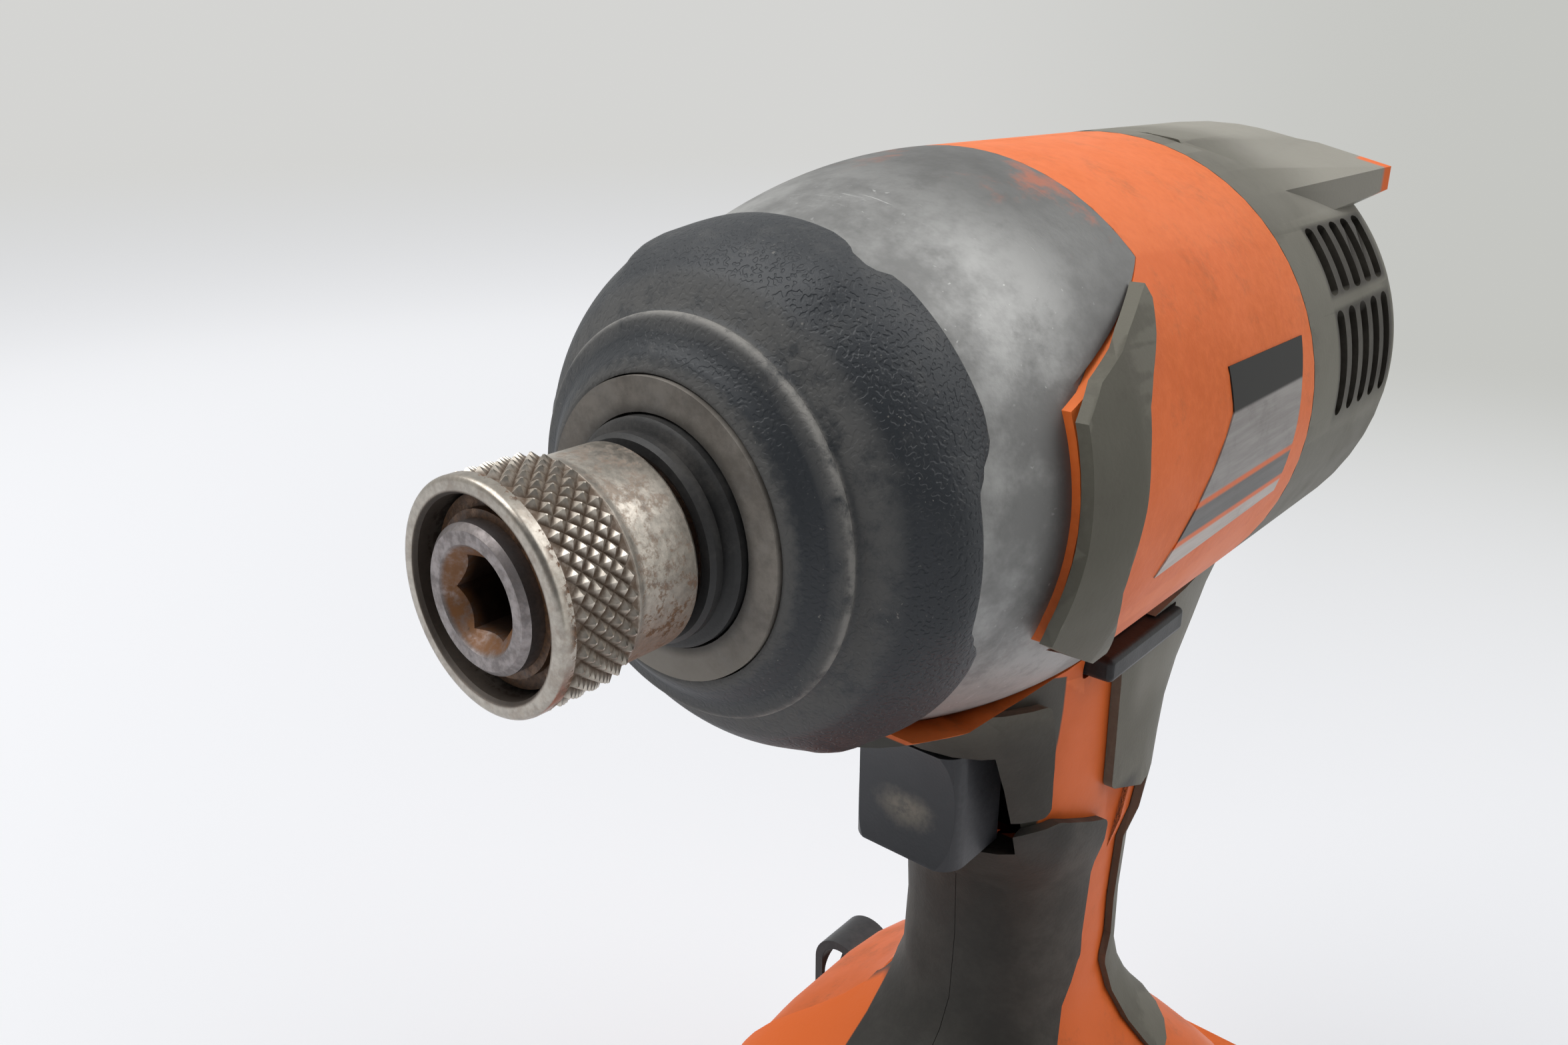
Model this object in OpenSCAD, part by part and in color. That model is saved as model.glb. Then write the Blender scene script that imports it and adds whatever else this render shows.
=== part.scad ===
// Cordless impact driver: hammer mechanism in a metal case, planetary gear, brushed motor,
// two-part moulded housing with rubber skins, and a slide-on battery pack.
// +Z is up, the nose points to -Y, +X is the tool's left, the origin lies on the rest face.
// A station t is a distance backwards along the spindle axis from the anvil's face.

/* [Whole tool] */
// Height of the spindle axis above the rest face
axis_h = 180; // [176:1:188]
// From the anvil's face back to the grip's axis
nose_reach = 92; // [88:1:96]

/* [Bit socket and sleeve] */
// Hex socket, across flats
hex_af = 6.45; // [6.35:0.05:6.6]
// Depth of the hex socket
hex_depth = 18.5; // [14:0.5:20]
// Diameter of the anvil's tip
tip_d = 11.8; // [11.4:0.1:12.6]
// Diameter of the lock balls
lock_ball_d = 3.2; // [2.9:0.1:3.4]
// Length of the sleeve
sleeve_l = 15.2; // [14.6:0.2:17]
// Radial room for the spring between tip and sleeve
sleeve_room = 2.7; // [2.4:0.1:3.2]
// Wall of the sleeve at its front
sleeve_wall = 1.4; // [1.2:0.1:2]
// Length of the knurled front part of the sleeve
knurl_l = 8.3; // [7:0.1:9.5]
// How far the sleeve pulls forward
sleeve_travel = 3.4; // [2.8:0.1:3.6]

/* [Hammer mechanism] */
// Diameter of the anvil's journal
journal_d = 15; // [14.6:0.1:16]
// Length of the anvil bush
bush_l = 13.5; // [12:0.5:15]
// Thickness of the anvil's ears
ear_l = 7; // [6:0.5:8]
// Width of the anvil's ears
ear_w = 13; // [11:0.5:14]
// Length of the hammer behind its lugs
hammer_l = 15.5; // [15:0.5:18]
// Diameter of the spindle
spindle_d = 14; // [13.4:0.2:14.6]
// Diameter of the cam balls
cam_ball_d = 4.8; // [4.2:0.1:5]
// Wire of the hammer spring
hammer_wire = 2.6; // [2:0.1:2.8]

/* [Reduction gear] */
// Gear module
gear_module = 0.8; // [0.76:0.01:0.83]
// Face width of the gears
gear_w = 7; // [6:0.5:8]

/* [Motor] */
// Diameter of the motor shaft
shaft_d = 5; // [4:0.2:5.4]
// Diameter of the armature
armature_d = 34; // [32:0.5:35]
// Length of the motor can
can_l = 33; // [31:1:37]
// Width of the cooling fan
fan_w = 5.5; // [4.5:0.5:7]

/* [Hammer case and bumper] */
// Diameter of the hammer case where the housing takes it
case_d = 62; // [61:0.5:64]
// Radius of the case's long curve towards the nose
case_arc = 72; // [66:1:84]
// Wall of the hammer case
case_wall = 3; // [2.6:0.1:3.2]
// Diameter of the case's nose ring
nose_d = 28.4; // [27.6:0.2:30]
// Largest diameter of the rubber bumper
bumper_d = 53.4; // [52.6:0.2:55]
// Length of the rubber bumper
bumper_l = 15.8; // [14.6:0.2:16.4]

/* [Housing] */
// Wall of the moulded housing
shell = 3; // [2.6:0.1:3.2]
// Length of the housing band behind the hammer case
band_l = 34; // [32:1:36]
// How far the side tusks reach forward along the case
tusk_l = 21.5; // [20:0.5:23]
// Height of the tusks over the case
tusk_h = 1.2; // [1:0.1:1.6]
// Height of the chin under the case
chin_h = 2.4; // [2:0.1:2.8]
// Thickness of the side panels
panel_h = 1.3; // [0.9:0.1:1.8]
// Thickness of the rubber skins
skin_h = 1.4; // [1:0.1:1.8]
// Rounding of the rear cap's end
cap_round = 6; // [4:0.5:8]
// Half width of the hood at the rear end
hood_half_w = 26; // [24:0.5:28]

/* [Grip and foot] */
// Width of the grip at its waist
grip_w = 31.2; // [30:0.2:33]
// Front of the grip ahead of its axis
grip_front = 22.5; // [21.5:0.5:24]
// Back of the grip behind its axis
grip_rear = 20.5; // [20:0.5:23]
// Height of the foot's underside
foot_z = 44; // [43:0.5:47]
// Width of the foot
foot_w = 72; // [68:1:74]
// Front of the foot ahead of the grip's axis
foot_front = 44; // [40:1:48]
// Back of the foot behind the grip's axis
foot_rear = 40; // [39:1:46]
// Height over which the foot narrows to the grip
flare_h = 46; // [44:1:48]

/* [Trigger and selector] */
// Front of the trigger ahead of the grip's axis
trigger_front = 32.5; // [31:0.5:35]
// Height of the trigger
trigger_h = 16.5; // [15:0.5:17]
// Width of the trigger
trigger_w = 16; // [15:0.5:18]
// How far the trigger pulls
trigger_travel = 7; // [5:0.5:8]
// Length of the selector bar along the tool
selector_l = 21; // [18:0.5:22]
// Height of the selector bar
selector_h = 3.4; // [3:0.2:4.4]
// How far the selector moves from side to side
selector_travel = 8; // [6:0.5:9]

/* [Battery pack] */
// Width of the battery pack
pack_w = 74; // [72:1:80]
// Length of the battery pack
pack_l = 110; // [108:1:118]
// Wall of the battery pack
pack_wall = 2.5; // [2:0.1:3]
// Height of the battery base
base_h = 29; // [28:0.5:31]
// Diameter of a cell
cell_d = 18.2; // [18:0.1:18.5]
// Length of a cell
cell_l = 65; // [64.5:0.1:65.4]
// Width of the slide rail's neck
rail_w = 34; // [30:0.5:36]

/* [Belt hook] */
// Thickness of the hook's steel strip
hook_strip = 1.8; // [1.4:0.1:2.2]
// Width of the hook
hook_w = 10; // [9:0.5:13]
// Inner radius of the hook's bend
hook_bend = 4.2; // [4:0.1:5]
// Bore of the hook's threaded inserts
insert_bore = 3.3; // [3.1:0.05:3.5]

/* [Hidden] */
$fn = 64;

// Clearances: cut overrun, fixed seats, parts that pass each other, and running fits
overrun = 1;
seat_gap = 0.1;
body_gap = 0.3;
run_gap = 0.05;
edge = 0.5;
rings_per_turn = 8;
wire_sides = 6;

// Bit socket and sleeve, in stations and radii
tip_r = tip_d / 2;
mouth_wall = 1.2;
mouth_r = tip_r - mouth_wall;
sleeve_setback = 0.3;
sleeve_end = sleeve_setback + sleeve_l;
sleeve_bore_r = tip_r + sleeve_room;
sleeve_r = sleeve_bore_r + sleeve_wall;
sleeve_tail_r = sleeve_r - edge;
knurl_end = sleeve_setback + knurl_l;
clip_t = 1.8;
clip_w = 0.8;
clip_h = 1.2;
clip_seat = 0.7;
washer_w = 0.8;
land_l = 3;
land_t = knurl_end + 2 * edge;
land_end = land_t + land_l;
relief_r = sleeve_tail_r - sleeve_wall;
ball_t = land_t + land_l / 2;
lock_ball_r = lock_ball_d / 2;
lock_orbit_r = tip_r - lock_ball_r - seat_gap;
sleeve_wire = 0.7;
sleeve_turns = 2.5;
sleeve_spring_t = clip_t + clip_w + washer_w + seat_gap;
sleeve_spring_l = land_t - sleeve_spring_t - seat_gap;
sleeve_spring_r = tip_r + sleeve_room / 2;
shoulder_t = land_end + body_gap;
shoulder_h = 0.8;
shoulder_r = tip_r + shoulder_h;

// Nose, in stations and radii
nose_space = 4.2;
nose_t = sleeve_end + nose_space;
nose_r = nose_d / 2;
journal_r = journal_d / 2;
journal_lead = 1.5;
seal_seat = 2.4;
seal_proud = 3;
seal_band = 3.2;
seal_r = nose_r - seal_band;
seal_lip = 1.25;
seal_bead = 1.5;
bush_t = nose_t + seal_seat;
bush_wall = 2;
bush_r = journal_r + run_gap + bush_wall;

// Hammer mechanism, in stations and radii
ear_t = bush_t + bush_l + body_gap;
ear_end = ear_t + ear_l;
lug_clear = 0.9;
lug_t = ear_t + lug_clear;
hammer_clear = 0.6;
hammer_t = ear_end + hammer_clear;
hammer_end = hammer_t + hammer_l;
hammer_lift = 1;
hammer_travel = ear_l + hammer_lift;
carrier_clear = 0.8;
carrier_t = hammer_end + hammer_travel + carrier_clear;
spindle_r = spindle_d / 2;
pilot_step = 3;
pilot_r = spindle_r - pilot_step;
pilot_l = ear_l - edge;
hub_r = journal_r + edge;
cam_ball_r = cam_ball_d / 2;
cam_orbit_r = spindle_r + seat_gap;
cam_t = hammer_t + cam_ball_r + body_gap;
cam_tilt = 30;

// Hammer case, in stations and radii
case_lap = 3.8;
case_r = case_d / 2;
band_t = carrier_t - case_lap;
spigot_r = case_r - shell - seat_gap;
cone_l = 10.3;
cone_t = nose_t + cone_l;
ridge_r = 19.3;
ridge_lead = 3.9;
ridge_w = 1.4;
bumper_setback = 0.4;
bumper_skin = 0.7;
bumper_front_t = nose_t + bumper_setback;
bumper_end = nose_t + bumper_l;
bulge_r = 12.5;
scallop_r = 9;
scallop_h = 4.2;
notch_r = 2.2;
notch_h = 2.1;
notch_turn = 28;
function case_at(t, inset) = case_r - case_arc + sqrt(pow(case_arc - inset, 2) - pow(band_t - t, 2));
hammer_gap = 0.8;
hammer_r = case_at(lug_t, case_wall) - hammer_gap;
ear_inset = 3;
ear_r = hammer_r - ear_inset;
lug_in_r = norm([ear_w, ear_w]) / 2 + hammer_gap;
spring_pocket = 10;
spring_seat_t = hammer_end - spring_pocket;
spring_r = (spindle_r + hammer_r) / 2 - edge;
pocket_room = 0.8;
pocket_in_r = spring_r * cos(180 / rings_per_turn) - hammer_wire / 2 - body_gap;
hammer_turns = 3.2;
hammer_spring_l = carrier_t - spring_seat_t - 2 * seat_gap;

// Reduction gear: tooth counts, radii and stations
sun_teeth = 12;
planet_teeth = 18;
ring_teeth = sun_teeth + 2 * planet_teeth;
pressure_angle = 25;
tooth_slack_share = 0.05;
tip_share = 1;
root_share = 1.25;
ring_tip_share = 0.8;
flank_steps = 4;
planet_orbit_r = gear_module * (sun_teeth + planet_teeth) / 2;
ring_pitch_r = gear_module * ring_teeth / 2;
ring_tip_r = ring_pitch_r - ring_tip_share * gear_module;
spigot_wall = 4.4;
ring_r = spigot_r - spigot_wall - seat_gap;
cheek = 3;
carrier_inset = 1.5;
carrier_r = ring_tip_r - carrier_inset;
slot_clear = 0.3;
slot_l = gear_w + 2 * slot_clear;
gear_t = carrier_t + cheek + slot_clear;
carrier_end = carrier_t + 2 * cheek + slot_l;
ring_t = gear_t - slot_clear;
case_end_t = ring_t + slot_l + slot_clear;
pin_r = 2.5;
sun_r = gear_module * (sun_teeth / 2 + tip_share);
hollow_r = sun_r + hammer_gap;
carrier_wall = 1.5;
carrier_journal_r = hollow_r + carrier_wall;
bearing_t = carrier_end + body_gap;
bearing_w = 5;
bearing_h = 5;
bearing_race = 1.5;
bearing_r = carrier_journal_r + bearing_h;
flange_l = 3;
plate_web = 2.4;
plate_screw_r = 1.4;
plate_screw_l = 9;
plate_pitch_r = spigot_r - spigot_wall / 2;

// Motor, in stations and radii
shaft_r = shaft_d / 2;
armature_r = armature_d / 2;
air_gap = 0.6;
magnet_h = 2.5;
can_wall = 2;
can_bore_r = armature_r + air_gap + magnet_h;
can_r = can_bore_r + can_wall;
can_t = bearing_t + bearing_w + plate_web;
can_end = can_t + can_l;
motor_bearing_h = 3;
motor_bearing_r = shaft_r + motor_bearing_h;
motor_bearing_w = 4;
core_lead = 6;
core_tail = 14;
core_t = can_t + core_lead;
core_l = can_l - core_lead - core_tail;
winding_l = 3.2;
slot_depth = 2.5;
winding_r = armature_r - slot_depth;
commutator_h = 4.5;
commutator_r = shaft_r + commutator_h;
commutator_l = 4.5;
commutator_t = core_t + core_l + winding_l;
bell_l = can_end - commutator_t;
bell_wall = 2.2;
brush_w = 5;
brush_l = 8;
armature_slots = 9;
slot_w = 2.2;
magnet_arc = 130;
brush_slot = brush_w + 2 * run_gap;
fan_gap = 2;
fan_t = can_end + fan_gap;
fan_inset = 2;
fan_r = can_r - fan_inset;
fan_blades = 10;
fan_room = 2.4;

// Housing barrel and rear cap
cap_t = band_t + band_l;
cap_end = fan_t + fan_w + fan_room + shell;
barrel_r = case_r;
rib_l = 2.5;
vent_w = 2.6;
vent_pitch = 4.4;
vent_rows = 5;
vent_bar = 3.2;
vent_top = 17;
vent_low = -14;
hood_drop = 7;
hood_eave = 3;
hood_taper = 9;
hood_lead = 5;
post_lead = 8;
post_turn = 28;
post_r = (barrel_r - shell - can_r) / 2;
post_pitch_r = can_r + post_r + body_gap;
screw_r = 1.5;
screw_head_r = 2.9;
screw_head_h = 2.2;
boss_r = 3.6;
boss_wall = 2;
screw_seat = grip_w / 4;
screw_tip = grip_w / 4;
screw_inset = 9;
neck_screw_y = 6.5;
waist_screw_z = 54;
flare_screw_z = 40;
foot_screw_z = 18;
foot_screw_y = 12;
rear_screw_y = 4;

// Side outline of the barrel: shares of the tusk's length and of the barrel's radius, then which way
// is out: the tusk's top and front, its lower edge, the notch, and the chin under the case
barrel_shares = [[0, 1.2, 1], [0, 0.69, 1], [-0.98, 0.35, 1], [-1, 0.05, 0], [-1.04, -0.27, 0],
  [-1.04, -0.36, -1], [-0.58, -0.52, -1], [-0.2, -0.66, 0], [-0.3, -0.735, 1], [-0.6, -0.785, 1],
  [-0.85, -0.81, 1], [-1.15, -0.8, 1], [-1.15, -1.2, -1]];
// Side panel: the same shares, from its top tip down the front edge and up the rear edge
panel_shares = [[-0.2, 0.64], [-0.51, 0.54], [-0.79, 0.43], [-0.915, 0.33], [-0.935, 0.15], [-0.955, -0.04],
  [-1, -0.27], [-1, -0.34], [-0.8, -0.43], [-0.55, -0.53], [-0.42, -0.53], [-0.52, -0.43], [-0.62, -0.33],
  [-0.67, -0.22], [-0.665, -0.13], [-0.64, -0.03], [-0.61, 0.07], [-0.58, 0.2], [-0.525, 0.33],
  [-0.44, 0.41], [-0.3, 0.51], [-0.2, 0.6]];
chin_share = 0.7;
tusk_seat = 2.2;
tusk_in_r = barrel_r - tusk_seat;

// Grip loft: rows of station height, front, rear, half width and squareness
foot_square = 6;
grip_square = 2.5;
neck_square = 3;
waist_h = 22;
neck_z = foot_z + flare_h + waist_h;
neck_top_z = axis_h - case_r / 2;
neck_front = 38;
neck_rear = 46;
neck_half_w = 22;
// Share of the flare's height, then shares from grip to foot for front and width, rear and squareness
flare_shares = [[0, 1, 1, 1], [0.3, 0.98, 0.72, 0.6], [0.48, 0.9, 0.45, 0.25], [0.58, 0.74, 0.27, 0.15],
  [0.67, 0.5, 0.13, 0.1], [0.8, 0.2, 0.04, 0.03], [1, 0, 0, 0]];
// Share of the neck's height, then shares from grip to neck for front, rear and width
neck_shares = [[0, 0, 0, 0], [0.22, 0.12, 0.03, 0.02], [0.43, 0.38, 0.13, 0.04],
  [0.62, 0.7, 0.36, 0.06], [0.78, 0.88, 0.68, 0.14], [1, 1, 1, 1]];
function mix(a, b, s) = a + (b - a) * s;
grip_rows = concat(
  [for (f = flare_shares) [foot_z + f[0] * flare_h, mix(grip_front, foot_front, f[1]),
    mix(grip_rear, foot_rear, f[2]), mix(grip_w, foot_w, f[1]) / 2,
    mix(grip_square, foot_square, f[3])]],
  [for (n = neck_shares) [mix(neck_z, neck_top_z, n[0]), mix(grip_front, neck_front, n[1]),
    mix(grip_rear, neck_rear, n[2]), mix(grip_w / 2, neck_half_w, n[3]),
    mix(grip_square, neck_square, n[0])]]);
screw_places = [[-neck_front + screw_inset, axis_h - case_r - screw_r],
  [grip_rear + neck_screw_y, axis_h - case_r - shell], [grip_rear - screw_inset, foot_z + waist_screw_z],
  [-grip_front + screw_inset, foot_z + flare_screw_z], [-foot_front + foot_screw_y, foot_z + foot_screw_z],
  [grip_rear + rear_screw_y, foot_z + foot_screw_z]];
loft_steps = 2;
loft_sides = 32;
small_sides = 16;
// Rubber skins: rounded blocks of [y share of the grip's depth, z share of its height] pairs
grip_depth = grip_front + grip_rear;
grip_h = axis_h - foot_z;
skin_corner = 1.5;
skin_blocks_shares = [
  [[-0.74, 0.54], [-0.51, 0.595], [-0.41, 0.6], [-0.195, 0.574], [-0.19, 0.397], [-0.74, 0.397]],
  [[-1.07, 0.4], [-0.19, 0.4], [-0.62, 0.175], [-1.07, 0.175]],
  [[-1.07, 0.632], [-0.486, 0.633], [-0.528, 0.706], [-0.567, 0.746], [-1.07, 0.757]],
  [[-0.167, 0.761], [-0.133, 0.625], [0.093, 0.597], [0.7, 0.6], [0.9, 0.7], [1.1, 0.82], [0, 0.78]],
  [[0.2, 0.61], [0.2, 0.36], [0.7, 0.36], [0.72, 0.61]],
  [[0.151, 0.346], [0.193, 0.244], [0.95, 0.244], [0.7, 0.37], [0.2, 0.37]]];

// Trigger, switch and selector
trigger_rise = 87.7;
trigger_z = foot_z + trigger_rise;
trigger_l = 11.5;
trigger_gap = 3.3;
finger_r = 24;
trigger_dish = 1.6;
trigger_nose_r = 3.5;
plunger_r = 2.5;
plunger_l = 13;
trigger_back = trigger_front - trigger_l;
switch_gap = 2;
switch_front = trigger_back - trigger_travel - switch_gap;
switch_l = 26;
switch_w = 19;
switch_h = 25;
trigger_wire = 0.8;
trigger_turns = 3;
coil_room = 2.1;
spring_coil_r = plunger_r + coil_room;
trigger_spring_l = trigger_back - switch_front - 2 * seat_gap;
selector_y = -5;
selector_rise = 0.4;
selector_proud = 3.4;
selector_z = axis_h - case_r + selector_rise;
selector_reach = grip_w / 2 + selector_proud;
selector_edge = 0.4;

// Battery pack and slide rails
pack_y = -3;
pack_corner = 9;
lid_top = foot_z - body_gap;
rail_lip = 4;
rail_flange_h = 5;
rail_neck_h = 6.2;
rail_top = lid_top + rail_neck_h + rail_flange_h;
rail_back = 27;
rail_front = foot_front;
foot_roof = 4;
solid_foot_z = foot_z + rail_neck_h + rail_flange_h + foot_roof;
cell_count = 5;
cell_gap = 0.5;
cell_pitch = cell_d + cell_gap;
cell_places = [for (k = [0 : cell_count - 1]) pack_y + (k - (cell_count - 1) / 2) * cell_pitch];
cell_z = pack_wall + cell_d / 2 + body_gap;
holder_w = 7;
holder_gap = 2;
holder_x = pack_w / 2 - pack_wall - holder_gap;
board_h = 1.6;
blade_w = 0.8;
blade_l = 10;
blade_h = 6;
blade_pitch = 8;
blade_count = 4;
blade_slot = 2.4;
blade_places = [for (k = [0 : blade_count - 1]) (k - (blade_count - 1) / 2) * blade_pitch];
leaf_w = 0.4;
terminal_l = 5.5;
latch_y = 15;
latch_l = 23;
latch_h = 8.4;
latch_proud = 1.2;
latch_depth = 7.2;
latch_travel = 3;
latch_room = 6.5;
latch_spring_r = 2.6;
latch_wire = 0.6;
latch_turns = 4;
pillar_r = 2.6;
pillar_gap = 2;
pillar_x = pack_w / 2 - pack_wall - pillar_r - pillar_gap;
pillar_y = pack_l / 2 - pack_wall - pillar_r;

// Belt hook and its inserts
hook_rise = 5;
hook_y = 16;
hook_z = foot_z + hook_rise;
hook_tail = 7;
hook_drop = 27;
hook_tip_z = hook_z - hook_drop;
insert_r = 3.2;
insert_l = 8;
insert_sink = 0.8;
hook_screw_r = insert_bore / 2 - run_gap;
hook_head_r = 3.6;
hook_head_h = 2.4;
hook_x = foot_w / 2 + seat_gap;
hook_leg_x = hook_x + hook_strip + 2 * hook_bend;

// Drawing helpers
module axial(t = 0) translate([0, t - nose_reach, axis_h]) rotate([-90, 0, 0]) children();

module turned() axial() rotate_extrude() children();

module disc(r, t, l) axial(t) cylinder(r = r, h = l);

module tube(r_out, r_in, t, l) axial(t) difference() {
  cylinder(r = r_out, h = l);
  translate([0, 0, -overrun]) cylinder(r = r_in, h = l + 2 * overrun);
}

// A box from its centre in x and its lowest y and z
module block(w, l, h, y, z) translate([-w / 2, y, z]) cube([w, l, h]);

module across(r, l, y, z, sides = $fn) translate([0, y, z]) rotate([0, 90, 0])
  cylinder(r = r, h = l, center = true, $fn = sides);

module rounded(w, l, r) {
  square([w - 2 * r, l], center = true);
  square([w, l - 2 * r], center = true);
  for (x = [-1, 1], y = [-1, 1]) translate([x * (w / 2 - r), y * (l / 2 - r)]) circle(r = r);
}

module side_of(s) translate([s > 0 ? 0 : -pack_l, -2 * pack_l, -pack_l]) cube([pack_l, 4 * pack_l, 4 * pack_l]);

// Points of a wound wire's middle, and the least gap that its curls leave
function coil_path(r, wire, l, turns) = [for (i = [0 : ceil(turns * rings_per_turn)])
  let (s = i / ceil(turns * rings_per_turn))
  [r * cos(360 * turns * s), r * sin(360 * turns * s), wire / 2 + (l - wire) * s]];
function least_gap(path, wire) = min([for (i = [0 : len(path) - 1], j = [0 : len(path) - 1])
  if (j - i >= rings_per_turn - 1) norm(path[i] - path[j])]) - wire;

// One unbroken tube wound along z, flat at both ends
module coil(r, wire, l, turns) {
  path = coil_path(r, wire, l, turns);
  n = len(path);
  k = wire_sides;
  points = [for (i = [0 : n - 1], j = [0 : k - 1])
    let (out = [path[i][0], path[i][1], 0] / r)
    path[i] + wire / 2 * (cos(360 * j / k) * out + [0, 0, sin(360 * j / k)])];
  sides = [for (i = [0 : n - 2], j = [0 : k - 1])
    let (a = i * k + j, b = i * k + (j + 1) % k) each [[a, a + k, b], [b, a + k, b + k]]];
  ends = [for (j = [1 : k - 2]) each [[0, j, j + 1], [(n - 1) * k, (n - 1) * k + j + 1, (n - 1) * k + j]]];
  polyhedron(points = points, faces = concat(sides, ends));
}

// Involute gear outline
function involute_turn(base, r) = tan(acos(min(1, base / r))) * 180 / PI - acos(min(1, base / r));
module gear_outline(teeth, tip, root, slack) {
  pitch = gear_module * teeth / 2;
  base = pitch * cos(pressure_angle);
  start = max(base, root);
  half = 90 / teeth - slack / pitch * 180 / PI + involute_turn(base, pitch);
  flank = [for (i = [0 : flank_steps]) let (r = mix(start, tip, i / flank_steps)) [r, half - involute_turn(base, r)]];
  tooth = concat([[root, -flank[0][1]]], [for (f = flank) [f[0], -f[1]]],
    [for (i = [flank_steps : -1 : 0]) flank[i]], [[root, flank[0][1]]]);
  polygon([for (k = [0 : teeth - 1], p = tooth) p[0] * [cos(p[1] + 360 * k / teeth), sin(p[1] + 360 * k / teeth)]]);
}

// Bit socket and sleeve
module anvil() color("dimgray") difference() {
  union() {
    turned() polygon([[0, 0], [tip_r - edge, 0], [tip_r, edge], [tip_r, shoulder_t],
      [shoulder_r, shoulder_t], [shoulder_r, nose_t - journal_lead], [journal_r, nose_t - journal_lead],
      [journal_r, ear_t], [hub_r, ear_t], [hub_r, ear_end], [0, ear_end]]);
    axial(ear_t) intersection() {
      cylinder(r = ear_r, h = ear_l);
      translate([-ear_r, -ear_w / 2, 0]) cube([2 * ear_r, ear_w, ear_l]);
    }
  }
  axial(-overrun) cylinder(r = hex_af / 2 / cos(30), h = hex_depth + overrun, $fn = 6);
  turned() polygon([[0, -overrun], [mouth_r + overrun, -overrun], [0, mouth_r]]);
  across(lock_ball_r + run_gap, 2 * tip_r + 2 * overrun, ball_t - nose_reach, axis_h);
  tube(tip_r + overrun, tip_r - clip_seat, clip_t, clip_w);
  disc(pilot_r + run_gap, ear_end - pilot_l, pilot_l + overrun);
}

module lock_balls() color("silver") for (s = [-1, 1])
  translate([s * lock_orbit_r, ball_t - nose_reach, axis_h]) sphere(r = lock_ball_r);

module sleeve() color("silver") turned() polygon([[sleeve_bore_r, sleeve_setback],
  [sleeve_r - edge, sleeve_setback], [sleeve_r, sleeve_setback + edge], [sleeve_r, knurl_end],
  [sleeve_tail_r, knurl_end + edge], [sleeve_tail_r, sleeve_end], [relief_r, sleeve_end],
  [relief_r, land_end], [tip_r + run_gap, land_end], [tip_r + run_gap, land_t],
  [sleeve_bore_r, land_t]]);

module sleeve_spring() color("gray") axial(sleeve_spring_t)
  coil(sleeve_spring_r, sleeve_wire, sleeve_spring_l, sleeve_turns);

module sleeve_washer() color("gray")
  tube(sleeve_bore_r - body_gap, tip_r + run_gap, clip_t + clip_w, washer_w);

module sleeve_clip() color("#5a4a3f") tube(tip_r + clip_h, tip_r - clip_seat, clip_t, clip_w);

// Nose
module nose_seal() color("#1c1c1e") turned() polygon([[journal_r + body_gap, nose_t + seal_seat],
  [journal_r + body_gap, nose_t - seal_proud], [seal_r - seal_lip, nose_t - seal_proud],
  [seal_r - edge, nose_t - seal_proud + edge], [seal_r - edge, nose_t - seal_bead],
  [seal_r - 2 * edge, nose_t - 2 * edge], [seal_r, nose_t - edge], [seal_r, nose_t + seal_seat]]);

// Section of the hammer case's outside ahead of the housing, grown by extra
module nose_outline(extra = 0, arc_sides = 256) {
  intersection() {
    translate([case_r - case_arc, band_t]) circle(r = case_arc + extra, $fn = arc_sides);
    translate([0, cone_t]) square([case_d, band_t - cone_t]);
  }
  polygon([[0, nose_t - extra], [nose_r + extra, nose_t - extra], [nose_r + extra, nose_t + seal_seat],
    [case_at(cone_t, -extra), cone_t], [0, cone_t]]);
}

module case_outline() {
  nose_outline();
  translate([0, band_t]) square([spigot_r, case_end_t - band_t]);
}

module case_hollow() {
  intersection() {
    translate([case_r - case_arc, band_t]) circle(r = case_arc - case_wall);
    translate([0, bush_t + bush_l]) square([spigot_r - spigot_wall, band_t - bush_t - bush_l]);
  }
  translate([0, band_t]) square([spigot_r - spigot_wall, case_end_t - band_t + overrun]);
  translate([0, nose_t]) square([bush_r, bush_t + bush_l - nose_t]);
  translate([0, nose_t - overrun]) square([seal_r, seal_seat + overrun]);
}

module at_plate_screws() for (k = [0 : 3]) axial(case_end_t) rotate(45 + 90 * k)
  translate([plate_pitch_r, 0, 0]) children();

module hammer_case() color("#6d7075") difference() {
  turned() difference() {
    case_outline();
    case_hollow();
  }
  at_plate_screws() translate([0, 0, flange_l - plate_screw_l]) cylinder(r = plate_screw_r, h = plate_screw_l);
  intersection() {
    tube(case_d, tusk_in_r, nose_t, band_t - nose_t + overrun);
    side_cut(concat(side_points(barrel_shares, seat_gap), [[cap_t, axis_h - case_d], [cap_t, axis_h + case_d]]));
  }
}

module anvil_bush() color("#b08d57") tube(bush_r, journal_r + run_gap, bush_t, bush_l);

module bumper_outline() {
  intersection() {
    nose_outline(bumper_skin);
    translate([0, bumper_front_t + bumper_skin]) square([case_d, bumper_l - bumper_setback - bumper_skin]);
  }
  polygon([[0, bumper_front_t], [nose_r + edge, bumper_front_t], [ridge_r - edge, nose_t + ridge_lead - edge],
    [ridge_r, nose_t + ridge_lead], [ridge_r, nose_t + ridge_lead + edge],
    [ridge_r - edge, nose_t + ridge_lead + ridge_w], [0, nose_t + ridge_lead + ridge_w]]);
  intersection() {
    translate([bumper_d / 2 - bulge_r, bumper_end]) circle(r = bulge_r);
    translate([0, nose_t + ridge_lead + ridge_w]) square([bumper_d, bumper_l - ridge_lead - ridge_w]);
  }
  translate([0, nose_t + ridge_lead + ridge_w])
    square([bumper_d / 2 - bulge_r, bumper_l - ridge_lead - ridge_w]);
}

module radial(turn, t, r) axial(t) rotate(turn - 90) rotate([0, 90, 0]) cylinder(r = r, h = bumper_d);

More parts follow.
